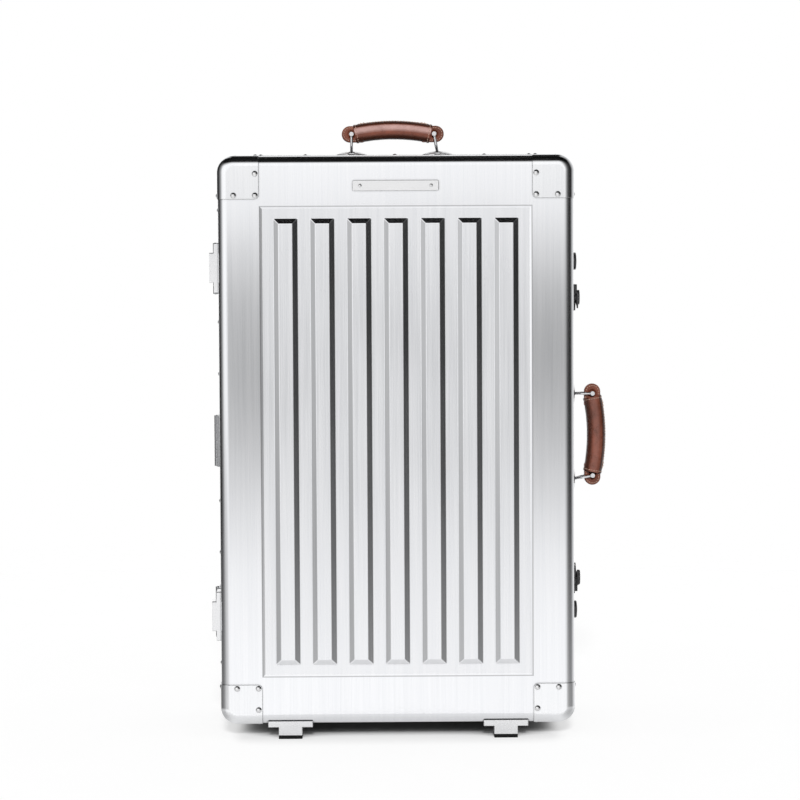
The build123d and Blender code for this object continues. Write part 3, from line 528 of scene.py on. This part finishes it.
# leather grips: a wrapped sleeve on an arch, with sewn end lobes
gripShape = {
    "shift": -0.0022,
    "pinSpread": 0.0522,
    "pinHeight": 0.0279,
    "halfLength": 0.048,
    "rise": 0.0049,
    "width": 0.021,
    "thick": 0.023,
    "lobe": 0.0105,
    "lobeReach": 0.002,
    "lobeBack": 0.016,  # how far it runs in under the sleeve
    "lobeSides": 72,
    "tab": 0.010,
    "hole": 0.0017,
    "recess": (0.0044, 0.0053, 0.0034),  # inner and outer radius, half thickness at the floor
    "stitchEdge": 0.0026,
    "stitchStep": 0.0031,
    "stitchSunk": 0.0003,
    "lobeSweep": 128,  # degrees, sewn each way round the lobe
    "hemAt": 0.948,  # share of half the arch, and so are the next two
    "seamEnd": 0.88,
    "tacks": (-0.80, -0.73, 0.73, 0.80),
    "thread": 0.00045,
    "seamDarkBand": (0.84, 1.03),  # darker band from the seam along the outer edge, radians
    # painted shade along the underside, radians, and its share
    "undersideShadeBand": (0.95, 1.38),
    "innerShare": 0.88,
    "sides": 56,
    "fold": 0.00022,
    "pucker": 0.00018,
    "seam": 0.0007,  # how far the seam stands up
    "seamWide": 0.10,  # radians
    # strength and place of the painted highlight band
    "wearAndPaintedHighlight": 0.9,
    "highlightAt": 1.30,
    "highlightReach": (0.12, 0.40),
}


def gripFrame(origin, along, away):
    u, v = Vector(along), Vector(away)
    w = u.cross(v)
    return lambda a, b, c: Vector(origin) + u * a + v * b + w * c


def archAt(spec, t):
    half, rise = spec["halfLength"], spec["rise"]
    radius = (half * half + rise * rise) / (2 * rise)
    angle = math.asin(half / radius) * t
    along = spec["shift"] + radius * math.sin(angle)
    away = spec["pinHeight"] + rise - radius * (1 - math.cos(angle))
    return (along, away), angle


def sectionAt(spec, turn, swell):
    power = 0.80  # between an ellipse and a rounded bar
    c, s = math.cos(turn), math.sin(turn)
    across = spec["width"] / 2 * math.copysign(abs(c) ** power, c) * swell
    away = spec["thick"] / 2 * math.copysign(abs(s) ** power, s) * swell
    return across, away


def onArch(spec, place, t, across, away):
    (mu, mv), angle = archAt(spec, t)
    return place(mu + away * math.sin(angle), mv + away * math.cos(angle), across)


def fadeOut(value, near, far):
    t = min(1.0, max(0.0, (far - value) / (far - near)))
    return t * t * (3 - 2 * t)


def sleeveBuilder(spec, place):
    hem = [(-0.955, 0.62), (-0.992, 0.86), (-1.0, 0.97), (-0.996, 1.025)]  # place along the arch, swell
    hem += [(-0.982, 1.04), (-0.958, 1.03), (-0.945, 0.985), (-0.930, 1.0)]
    stations = hem + [(-0.915 + 1.83 * i / 60, 1.0) for i in range(61)]
    stations += [(-t, swell) for t, swell in reversed(hem)]
    seamAt = math.pi / 2

    def build(work):
        seamDarkAndShade = work.verts.layers.float.new("seamDarkAndShade")
        wearAndPaintedHighlight = work.verts.layers.float.new("wearAndPaintedHighlight")
        rings = []
        for t, swell in stations:
            ring = []
            for k in range(spec["sides"]):
                turn = math.tau * k / spec["sides"]
                across, away = sectionAt(spec, turn, swell)
                fold = noise.noise(Vector((t * 9.0, across * 260.0, away * 260.0))) * spec["fold"]
                ends = max(0.0, abs(t) - 0.72) / 0.28
                wobble = 3.0 * noise.noise(Vector((t * 5.0, turn, 2.0)))
                pucker = ends * spec["pucker"] * math.sin(turn * 9.0 + wobble)
                seam = spec["seam"] * math.exp(-((turn - seamAt) / spec["seamWide"]) ** 2)
                seam *= 1.0 if abs(t) < 0.9 else 0.0
                grow = 1.0 + (fold + pucker + seam) / math.hypot(across, away)
                point = work.verts.new(onArch(spec, place, t, across * grow, away * grow))
                # darker band along the seam, and painted shade along the underside
                outer = fadeOut(abs(turn - seamAt), *spec["seamDarkBand"])
                inner = fadeOut(abs(turn - math.pi * 1.5), *spec["undersideShadeBand"])
                point[seamDarkAndShade] = max(outer, spec["innerShare"] * inner)
                # painted highlight band
                aside = abs((turn - seamAt + math.pi) % math.tau - math.pi)  # from the seam, both ways
                point[wearAndPaintedHighlight] = spec["wearAndPaintedHighlight"] * fadeOut(abs(aside - spec["highlightAt"]), *spec["highlightReach"])
                ring.append(point)
            rings.append(ring)
        bridgeRings(work, rings)
        work.faces.new(rings[0])
        work.faces.new(rings[-1])

    return build


def lobeEdge(spec, turn):
    radius, reach = spec["lobe"], spec["lobeReach"]
    c, s = math.cos(turn), math.sin(turn)
    hit = reach * c + math.sqrt(max(0.0, radius * radius - (reach * s) ** 2))
    if hit * c < reach:  # straight sides, running in under the sleeve
        sides = radius / max(abs(s), 1e-6)
        back = spec["lobeBack"] / max(-c, 1e-6) if c < 0 else 1.0
        hit = min(sides, back)
    return hit


def lobeBuilder(spec, place, end):
    half = spec["tab"] / 2
    inner, outer, floor = spec["recess"]
    # from the hole to the edge: how the reach is told, the reach, the half thickness there
    profile = [("hole", 0.0, floor), ("at", inner, floor), ("at", (inner + outer) / 2, floor + 0.0007)]
    profile += [("at", outer, half - 0.0001), ("in", 0.0037, half), ("in", 0.0031, half - 0.00015)]
    profile += [("in", spec["stitchEdge"], half - 0.0006), ("in", 0.0020, half - 0.0002)]
    profile += [("in", 0.0013, half - 0.0001), ("in", 0.0006, half - 0.0006), ("in", 0.0001, half - 0.0018)]
    profile = profile + [("in", 0.0, 0.0)] + [(kind, way, -deep) for kind, way, deep in reversed(profile)]

    def build(work):
        rings = []
        for kind, way, deep in profile:
            ring = []
            for k in range(spec["lobeSides"]):
                turn = math.tau * k / spec["lobeSides"]
                edge = lobeEdge(spec, turn)
                reach = {"hole": spec["hole"], "at": way, "in": max(edge - way, outer + 0.0004)}[kind]
                spot = (reach * 300.0 * math.cos(turn), reach * 300.0 * math.sin(turn), deep * 90.0 + end)
                ripple = 0.00010 * noise.noise(Vector(spot))
                u = spec["shift"] + end * (spec["pinSpread"] + reach * math.cos(turn))
                v = spec["pinHeight"] + reach * math.sin(turn)
                ring.append(work.verts.new(place(u, v, deep + ripple)))
            rings.append(ring)
        bridgeRings(work, rings, closeAlong=True)

    return build


def sewStitch(work, start, stop, out, thread):
    run = stop - start
    side = out.cross(run).normalized()
    rings = []
    for i in range(7):
        t = i / 6
        bow = math.sin(math.pi * t)
        fat = thread * (0.35 + 0.65 * bow ** 0.5)
        centre = start + run * t + out * thread * (0.9 * bow - 0.25)
        rings.append(roundRing(work, centre, side, out, fat, 8))
    bridgeRings(work, rings)
    work.faces.new(rings[0])
    work.faces.new(rings[-1])


def sewLine(work, points, outAt, step, thread):
    travelled, start, startIndex = 0.0, points[0], 0
    for i in range(1, len(points)):
        travelled += (points[i] - points[i - 1]).length
        if travelled >= step * 0.78 and start is not None:
            sewStitch(work, start, points[i], outAt((i + startIndex) // 2), thread)
            start = None
        if travelled >= step:
            travelled, start, startIndex = 0.0, points[i], i


def stitchBuilder(spec, place):
    step, thread = spec["stitchStep"], spec["thread"]

    def outward(u, v, w):
        return (place(u, v, w) - place(0, 0, 0)).normalized()

    def sewLobe(work, end, face):
        line = []
        for k in range(241):
            turn = math.radians(-spec["lobeSweep"] + 2 * spec["lobeSweep"] * k / 240)
            reach = lobeEdge(spec, turn) - spec["stitchEdge"]
            u = spec["shift"] + end * (spec["pinSpread"] + reach * math.cos(turn))
            v = spec["pinHeight"] + reach * math.sin(turn)
            line.append(place(u, v, face * (spec["tab"] / 2 - spec["stitchSunk"])))
        sewLine(work, line, lambda i: outward(0, 0, face), step, thread)

    def sewHem(work, end):
        line, outs = [], []
        t = end * spec["hemAt"]
        angle = archAt(spec, t)[1]
        for k in range(181):
            across, away = sectionAt(spec, math.tau * k / 180, 0.995)
            line.append(onArch(spec, place, t, across, away))
            outs.append(outward(away * math.sin(angle), away * math.cos(angle), across))
        sewLine(work, line, lambda i: outs[i], step, thread)

    def sewSeam(work, side):
        line, outs = [], []
        across, away = sectionAt(spec, math.pi / 2 - side * 0.16, 1.005)
        for k in range(301):
            t = -spec["seamEnd"] + 2 * spec["seamEnd"] * k / 300
            angle = archAt(spec, t)[1]
            line.append(onArch(spec, place, t, across, away))
            outs.append(outward(math.sin(angle), math.cos(angle), side * 0.3))
        sewLine(work, line, lambda i: outs[i], step * 1.15, thread)

    def sewTack(work, t):
        angle = archAt(spec, t)[1]
        ends = [onArch(spec, place, t, *sectionAt(spec, math.pi / 2 + turn, 1.01)) for turn in (-0.30, 0.30)]
        sewStitch(work, *ends, outward(math.sin(angle), math.cos(angle), 0), thread * 2.4)

    def build(work):
        for end in (-1, 1):  # round both faces of each lobe, then the hem beside it
            for face in (-1, 1):
                sewLobe(work, end, face)
            sewHem(work, end)
        for side in (-1, 1):  # both sides of the seam along the outer edge
            sewSeam(work, side)
        for t in spec["tacks"]:  # where the seam ends
            sewTack(work, t)

    return build


def makeGrip(body, spec, origin, along, away):
    place = gripFrame(origin, along, away)
    leather = finishes["brown_leather"]
    sleeve = meshPiece(body + "_sleeve", sleeveBuilder(spec, place), leather, body, 1)
    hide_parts(body + "_grip")
    for end, word in ((-1, "first"), (1, "second")):
        lobe = lobeBuilder(spec, place, end)
        meshPiece(f"{body}_lobe_{word}", lobe, leather, body, 1)
    meshPiece(body + "_stitching", stitchBuilder(spec, place), threadLook, body)


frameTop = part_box("front_frame")[1]
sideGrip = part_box("side_handle_grip")
sideMiddle = (sideGrip[0].z + sideGrip[1].z) / 2 + gripShape["shift"]
sideShape = {**gripShape, "wearAndPaintedHighlight": 0.09, "highlightAt": 1.57}  # a weaker painted highlight than the top one, across the middle
makeGrip("top_handle", gripShape, (0.0, 0.0, frameTop.z), (1, 0, 0), (0, 0, 1))
makeGrip("side_handle", sideShape, (frameTop.x, 0.0, sideMiddle), (0, 0, -1), (1, 0, 0))
print("leather grips sewn")


# cloth linings, glued to the walls and sewn round the back panel
liningShape = {
    "inset": 0.0007,  # from the outside of the space for the cloth
    "corner": 0.0178,
    "roll": 0.0085,  # where the side strip turns into the back panel
    "cloth": 0.0007,
    "slack": 0.0016,
    "piping": 0.0016,
    "hem": 0.0011,
    "twist": 0.06,  # share by which piping and hem swell
    "twistStep": 0.0042,
    "pucker": 0.0085,  # from one pucker to the next
    "puckerReach": 0.022,
    "looseReach": 0.03,
    "overGap": 0.0012,  # in front of the wheel housings
    "overReach": 0.022,
    "overRise": 0.02,
}


def wallsOf(spec, low, high, back):
    halfX, halfZ = high.x - spec["inset"], (high.z - low.z) / 2 - spec["inset"]
    rimY = low.y if back > 0 else high.y
    backY = (high.y - spec["inset"]) if back > 0 else (low.y + spec["inset"])
    return halfX, halfZ, (high.z + low.z) / 2, rimY, backY


def outlineAt(halfX, halfZ, corner, count=240):
    runs = [2 * (halfX - corner), 2 * (halfZ - corner)]
    bend = math.pi / 2 * corner
    whole = 2 * (runs[0] + runs[1]) + 4 * bend
    points = []
    for k in range(count):
        way = whole * k / count
        for side in range(4):
            run = runs[side % 2]
            u, v = ((1, 0), (0, 1), (-1, 0), (0, -1))[side]
            cornerX = (halfX - corner) * (1, 1, -1, -1)[side]
            cornerZ = (halfZ - corner) * (-1, 1, 1, -1)[side]
            if way <= run:
                left = run - way
                points.append((cornerX + v * corner - u * left, cornerZ - u * corner - v * left))
                break
            way -= run
            if way <= bend:
                angle = math.pi / 2 * (side - 1) + way / corner
                points.append((cornerX + corner * math.cos(angle), cornerZ + corner * math.sin(angle)))
                break
            way -= bend
        else:
            points.append(points[0])
    return points, whole


def liningBuilder(spec, low, high, back, pushed):
    halfX, halfZ, middle, rimY, backY = wallsOf(spec, low, high, back)
    roll = spec["roll"]
    deep = abs(rimY - backY) - roll
    shares = (0.01, 0.06, 0.12, 0.2, 0.3, 0.4, 0.5, 0.6, 0.7, 0.78, 0.85, 0.9, 0.94, 0.97, 0.985, 1.0)
    stations = [(share, 0.0) for share in shares]  # over the back panel
    stations += [(1.0, math.radians(a)) for a in range(10, 91, 10)]  # round the roll
    stations += [(1.0, 2.0 + k / 14) for k in range(1, 15)]  # up the walls

    def build(work):
        rings = []
        for scale, along in stations:
            shrink, lift = roll, 0.0
            if 0.0 < along < 2.0:
                shrink, lift = roll * (1 - math.sin(along)), roll * (1 - math.cos(along))
            elif along >= 2.0:
                shrink, lift = 0.0, roll + deep * (along - 2.0)
            corner = max(0.002, spec["corner"] - shrink)
            outline, whole = outlineAt((halfX - shrink) * scale, (halfZ - shrink) * scale, corner * scale)
            ring = []
            for k, (x, z) in enumerate(outline):
                way = whole * k / len(outline) / max(scale, 0.05)
                y = backY - back * lift
                toSeam = (1 - scale) * halfX if along == 0.0 else lift
                wobble = 4 * noise.noise(Vector((x * 14, z * 14, 1.0)))
                wave = 0.5 + 0.5 * math.sin(math.tau * way / spec["pucker"] + wobble)
                puckered = math.exp(-toSeam / spec["puckerReach"]) * wave
                loose = max(0.0, 0.5 + noise.noise(Vector((x * 11, y * 11, z * 9))))
                loose *= min(1.0, toSeam / spec["looseReach"])
                slack = spec["slack"] * (0.45 * puckered + 0.75 * loose)
                if along < 2.0:
                    y -= back * slack
                else:
                    fade = 1.0 - ((along - 2.0) ** 4)
                    reach = math.hypot(x, z)
                    x, z = x * (1 - slack * fade / reach), z * (1 - slack * fade / reach)
                ring.append(work.verts.new(pushed(Vector((x, y, middle + z)))))
            rings.append(ring)
        bridgeRings(work, rings)
        work.faces.new(rings[0])

    return build


def trimBuilder(spec, low, high, back, pushed):
    halfX, halfZ, middle, rimY, backY = wallsOf(spec, low, high, back)
    seamIn = spec["roll"] * (1 - math.sin(math.radians(45))) + spec["piping"] * 0.8
    trims = [(backY - back * seamIn, seamIn, spec["piping"])]  # depth, how far in, thickness
    trims += [(rimY + back * spec["hem"], spec["hem"], spec["hem"])]
    deepWay = Vector((0, 1, 0))

    def build(work):
        for y, shrink, fat in trims:
            outline, whole = outlineAt(halfX - shrink, halfZ - shrink, spec["corner"] - shrink, 360)
            rings = []
            for k, (x, z) in enumerate(outline):
                ahead, behind = outline[(k + 1) % len(outline)], outline[k - 1]
                run = Vector((ahead[0] - behind[0], 0.0, ahead[1] - behind[1])).normalized()
                knot = 1.0 + spec["twist"] * math.sin(math.tau * whole * k / len(outline) / spec["twistStep"])
                centre = pushed(Vector((x, y, middle + z)))
                rings.append(roundRing(work, centre, run.cross(deepWay), deepWay, fat * knot, 10))
            bridgeRings(work, rings, closeAlong=True)

    return build


def overHousings(point):
    across = abs(abs(point.x) - wheelMiddle) - housingHalf
    apart = max(across, point.z - housing[1].z, 0.0) / liningShape["overReach"]
    ease = min(1.0, max(0.0, apart - 0.15))
    ease = ease * ease * (3 - 2 * ease)
    limit = housing[0].y - liningShape["overGap"] + liningShape["overRise"] * ease
    return Vector((point.x, min(point.y, limit), point.z))


def lineHalf(half, back, pushed):
    low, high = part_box(half + "_lining")
    fabric, body = finishes["lining_fabric"], half + "_half"
    laid = liningBuilder(liningShape, low, high, back, pushed)
    cloth = meshPiece(half + "_lining_cloth", laid, fabric, body)
    thick = cloth.modifiers.new("cloth", "SOLIDIFY")
    thick.thickness = liningShape["cloth"]
    thick.offset = 0.0
    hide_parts(half + "_lining")
    trim = trimBuilder(liningShape, low, high, back, pushed)
    meshPiece(half + "_lining_piping", trim, fabric, body)


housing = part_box("wheel_housings")
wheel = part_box("wheel_tyre_right")
wheelMiddle = (wheel[0].x + wheel[1].x) / 2
housingHalf = housing[1].x - wheelMiddle
lineHalf("front", -1, lambda point: point)
lineHalf("rear", 1, overHousings)
print("linings sewn")


# floor with a painted shadow, and studio
studio = {
    "floorHalf": 4.0,
    "floorTone": (0.55, 0.55, 0.55),
    "speckle": 0.985,
    "floorLift": 0.60,  # seen by the camera, so that the floor is white
    "mirroredLift": 0.43,  # seen in the metal
    "shownFade": (1.0, 2.4),
    "mirroredFade": (0.21, 0.36),
    # the painted shadow on the floor: reach of the occlusion, where it fades, and its levels
    "shadeReach": 0.10,
    "shadeEnds": (0.188, 0.210),  # fades under the rounded ends of the case
    "contactShadowEnds": (0.178, 0.206),  # the deep painted shadow close behind the feet
    "contactShadowFront": (-0.092, -0.046),
    "contactShadowTone": 0.62,
    "sideDim": (0.200, 0.250),  # painted shade on the floor beside the case, seen only as the corners mirror it
    "sideTone": 0.20,
    "shade": ((0.03, 0.0), (0.06, 0.10), (0.09, 0.30), (0.13, 0.57), (0.2, 0.76), (0.5, 0.78), (0.62, 0.85),
              (0.72, 0.93), (0.80, 1.0)),
    "keyStrength": 2.8,
    "keyTilt": 65.0,  # from straight down
    "keyTurn": 0.0,
    "keyAngle": 8.0,
    "fill": 0.36,
    "backdrop": 1.0,
    "bright": 1.075,
}


def mirroredRays(tree, path):
    shiny = doMath(tree, "MAXIMUM", path.outputs["Is Glossy Ray"], path.outputs["Is Transmission Ray"])
    return doMath(tree, "MULTIPLY", shiny, doMath(tree, "LESS_THAN", path.outputs["Diffuse Depth"], 0.5))


def floorFinish(name, spec):
    finish, tree, shader, where = startFinish(name)
    tree.nodes.remove(shader)
    chalk = addNode(tree, "BsdfDiffuse")
    speckle = spread(tree, grain(tree, where, 6.0, 3.0), 0.3, 0.7, spec["speckle"], 1.0)
    pale = mixTone(tree, 1.0, spec["floorTone"], speckle, "MULTIPLY")
    path = addNode(tree, "LightPath")
    # painted shadow: the floor's glow darkened by ambient occlusion near the case
    sky = addNode(tree, "AmbientOcclusion", samples=32)
    plug(tree, sky, "Distance", spec["shadeReach"])
    glow = addNode(tree, "Emission")
    axes = addNode(tree, "SeparateXYZ")
    plug(tree, axes, 0, where)
    beside = doMath(tree, "ABSOLUTE", axes.outputs["X"])
    ends = spread(tree, beside, *spec["shadeEnds"], smooth=True)
    shade = ramp(tree, sky.outputs["AO"], spec["shade"])
    shade = mixTone(tree, ends, shade, (1.0, 1.0, 1.0))
    # painted contact shadow under the case, placed by position, darkening the floor's colour and glow
    under = doMath(
        tree, "MULTIPLY",
        spread(tree, beside, *spec["contactShadowEnds"], 1.0, 0.0, smooth=True),
        spread(tree, axes.outputs["Y"], *spec["contactShadowFront"], 0.0, spec["contactShadowTone"], smooth=True),
    )
    under = spread(tree, under, 0.0, 1.0, 1.0, 0.0)
    plug(tree, chalk, "Color", mixTone(tree, 1.0, pale, under, "MULTIPLY"))
    plug(tree, glow, "Color", mixTone(tree, 1.0, shade, under, "MULTIPLY"))
    # painted shade in the floor's glow beside the case, seen only in the metal
    mirroredSide = spread(tree, beside, *spec["sideDim"], 1.0, spec["sideTone"], smooth=True)
    mirroredSide = doMath(tree, "MULTIPLY", mirroredSide, spec["mirroredLift"])
    seen = doMath(
        tree, "ADD",
        doMath(tree, "MULTIPLY", path.outputs["Is Camera Ray"], spec["floorLift"]),
        doMath(tree, "MULTIPLY", mirroredRays(tree, path), mirroredSide),
    )
    plug(tree, glow, "Strength", seen)
    both = addNode(tree, "AddShader")
    tree.links.new(chalk.outputs[0], both.inputs[0])
    tree.links.new(glow.outputs[0], both.inputs[1])
    far = addNode(tree, "VectorMath", operation="LENGTH")
    plug(tree, far, 0, where)
    fade = addNode(tree, "MixShader")
    shown = spread(tree, far.outputs["Value"], *spec["shownFade"], smooth=True)
    mirrored = spread(tree, far.outputs["Value"], *spec["mirroredFade"], smooth=True)
    mirrored = doMath(tree, "MULTIPLY", mirrored, path.outputs["Is Glossy Ray"])
    plug(tree, fade, 0, doMath(tree, "MAXIMUM", shown, mirrored))
    tree.links.new(both.outputs[0], fade.inputs[1])
    tree.links.new(addNode(tree, "BsdfTransparent").outputs[0], fade.inputs[2])
    tree.links.new(fade.outputs[0], tree.nodes["Material Output"].inputs["Surface"])
    return finish


def layFloor(spec):
    mesh = bpy.data.meshes.new("studioFloor")
    work = bmesh.new()
    bmesh.ops.create_grid(work, x_segments=8, y_segments=8, size=spec["floorHalf"])
    work.to_mesh(mesh)
    work.free()
    floor = bpy.data.objects.new("studioFloor", mesh)
    scene.collection.objects.link(floor)
    mesh.materials.append(floorFinish("paleFloor", spec))


# what the metal mirrors: level by direction in degrees, 0 towards the camera and + to the right
darkest = 0.008
room = {
    "around": (
        (-180, 1.0), (-150, 1.0), (-140, darkest), (-122, darkest), (-110, 0.03), (-95, 0.10), (-80, 0.25),
        (-68, 0.50), (-58, 0.86), (-45, 1.0), (14, 1.0), (25, 0.48), (37, 0.20), (49, 0.06), (63, 0.03),
        (77, darkest), (86, 0.03), (93, 0.15), (111, 0.50), (136, 0.75), (160, 1.0), (180, 1.0),
    ),
    "upward": (
        (-90, 0.84), (-36, 0.84), (-24, 0.90), (-16, 1.0), (28, 1.0), (47, darkest), (90, darkest),
    ),
    "behindY": (0.05, 0.30),  # the sky behind, which the top mirrors in views from above
    "behindX": (0.12, 0.34),
    "behindLift": (20, 34),
    "behindLevel": 0.6,
    "dip": (  # the grey band across the middle of the face
        (-90, 1.0), (-7.2, 1.0), (-6.1, 0.93), (-5.3, 0.80), (-4.5, 0.64), (-3.6, 0.50), (-2.5, 0.38),
        (-1.1, 0.345), (-0.4, 0.40), (0.1, 0.58), (0.5, 0.74), (0.85, 0.90), (1.15, 1.0), (90, 1.0),
    ),
    "dipLeft": (-10, -20),
    "dipRight": (40, 60),
    "below": (  # how far the low directions are evened out
        (-90, 1.0), (-65, 0.90), (-45, 0.60), (-25, 0.50), (-14, 0.55), (-9, 0.25), (-5, 0.0), (90, 0.0),
    ),
    "dimLeft": 0.42,  # low on the left
    "dimTurn": (-12, -40),
    "dimTop": (-2, -6),
    "dimBottom": (-16, -9),
}


def levelBy(tree, share, span, stops):
    return ramp(tree, share, [(degrees / span + 0.5, level) for degrees, level in stops])


def easeBy(tree, angle, low, high):
    return spread(tree, angle, math.radians(low), math.radians(high), smooth=True)


def mirroredRoom(tree, spec):
    axes = addNode(tree, "SeparateXYZ")
    plug(tree, axes, 0, addNode(tree, "TexCoord").outputs["Generated"])
    toFront = doMath(tree, "MULTIPLY", axes.outputs["Y"], -1.0)
    turn = doMath(tree, "ARCTAN2", axes.outputs["X"], toFront)
    lift = doMath(tree, "ARCSINE", axes.outputs["Z"])
    turnShare = spread(tree, turn, -math.pi, math.pi)
    liftShare = spread(tree, lift, -math.pi / 2, math.pi / 2)
    white = (1.0, 1.0, 1.0)

    around = levelBy(tree, turnShare, 360, spec["around"])
    upward = levelBy(tree, liftShare, 180, spec["upward"])
    behind = doMath(
        tree, "MULTIPLY",
        spread(tree, axes.outputs["Y"], *spec["behindY"], smooth=True),
        spread(tree, doMath(tree, "ABSOLUTE", axes.outputs["X"]), *spec["behindX"], smooth=True),
    )
    low, high = (math.radians(a) for a in spec["behindLift"])
    behind = doMath(tree, "MULTIPLY", behind, spread(tree, lift, low, high, 0.0, spec["behindLevel"]))
    upward = mixTone(tree, behind, upward, white)
    dip = levelBy(tree, liftShare, 180, spec["dip"])
    leftEnd, rightEnd = easeBy(tree, turn, *spec["dipLeft"]), easeBy(tree, turn, *spec["dipRight"])
    dip = mixTone(tree, doMath(tree, "MAXIMUM", leftEnd, rightEnd), dip, white)
    around = mixTone(tree, levelBy(tree, liftShare, 180, spec["below"]), around, white)
    dim = easeBy(tree, turn, *spec["dimTurn"])
    for ends in (spec["dimTop"], spec["dimBottom"]):
        dim = doMath(tree, "MULTIPLY", dim, easeBy(tree, lift, *ends))
    around = mixTone(tree, doMath(tree, "MULTIPLY", dim, spec["dimLeft"]), around, (0.0, 0.0, 0.0))
    return mixTone(tree, 1.0, mixTone(tree, 1.0, around, upward, "MULTIPLY"), dip, "MULTIPLY")


def addSky(tree, strength, tone=(1.0, 1.0, 1.0, 1.0)):
    node = addNode(tree, "Background")
    plug(tree, node, "Color", tone)
    node.inputs["Strength"].default_value = strength
    return node.outputs[0]


def chooseSky(tree, share, first, second):
    node = addNode(tree, "MixShader")
    plug(tree, node, 0, share)
    tree.links.new(first, node.inputs[1])
    tree.links.new(second, node.inputs[2])
    return node.outputs[0]


def lightStudio(spec, roomSpec):
    lamp = bpy.data.lights.new("keyLight", "SUN")
    lamp.energy = spec["keyStrength"]
    lamp.angle = math.radians(spec["keyAngle"])
    stand = bpy.data.objects.new("keyLight", lamp)
    stand.rotation_euler = (math.radians(spec["keyTilt"]), 0.0, math.radians(spec["keyTurn"]))
    stand.visible_glossy = False
    scene.collection.objects.link(stand)

    world = bpy.data.worlds.new("whiteStudio")
    scene.world = world
    world.use_nodes = True
    tree = world.node_tree
    tree.nodes.clear()
    path = addNode(tree, "LightPath")
    mirrored = addSky(tree, spec["bright"], mirroredRoom(tree, roomSpec))
    bounced = chooseSky(tree, mirroredRays(tree, path), addSky(tree, spec["fill"]), mirrored)
    shown = chooseSky(tree, path.outputs["Is Camera Ray"], bounced, addSky(tree, spec["backdrop"]))
    out = addNode(tree, "OutputWorld")
    tree.links.new(shown, out.inputs["Surface"])


layFloor(studio)
lightStudio(studio, room)
print("studio lit")
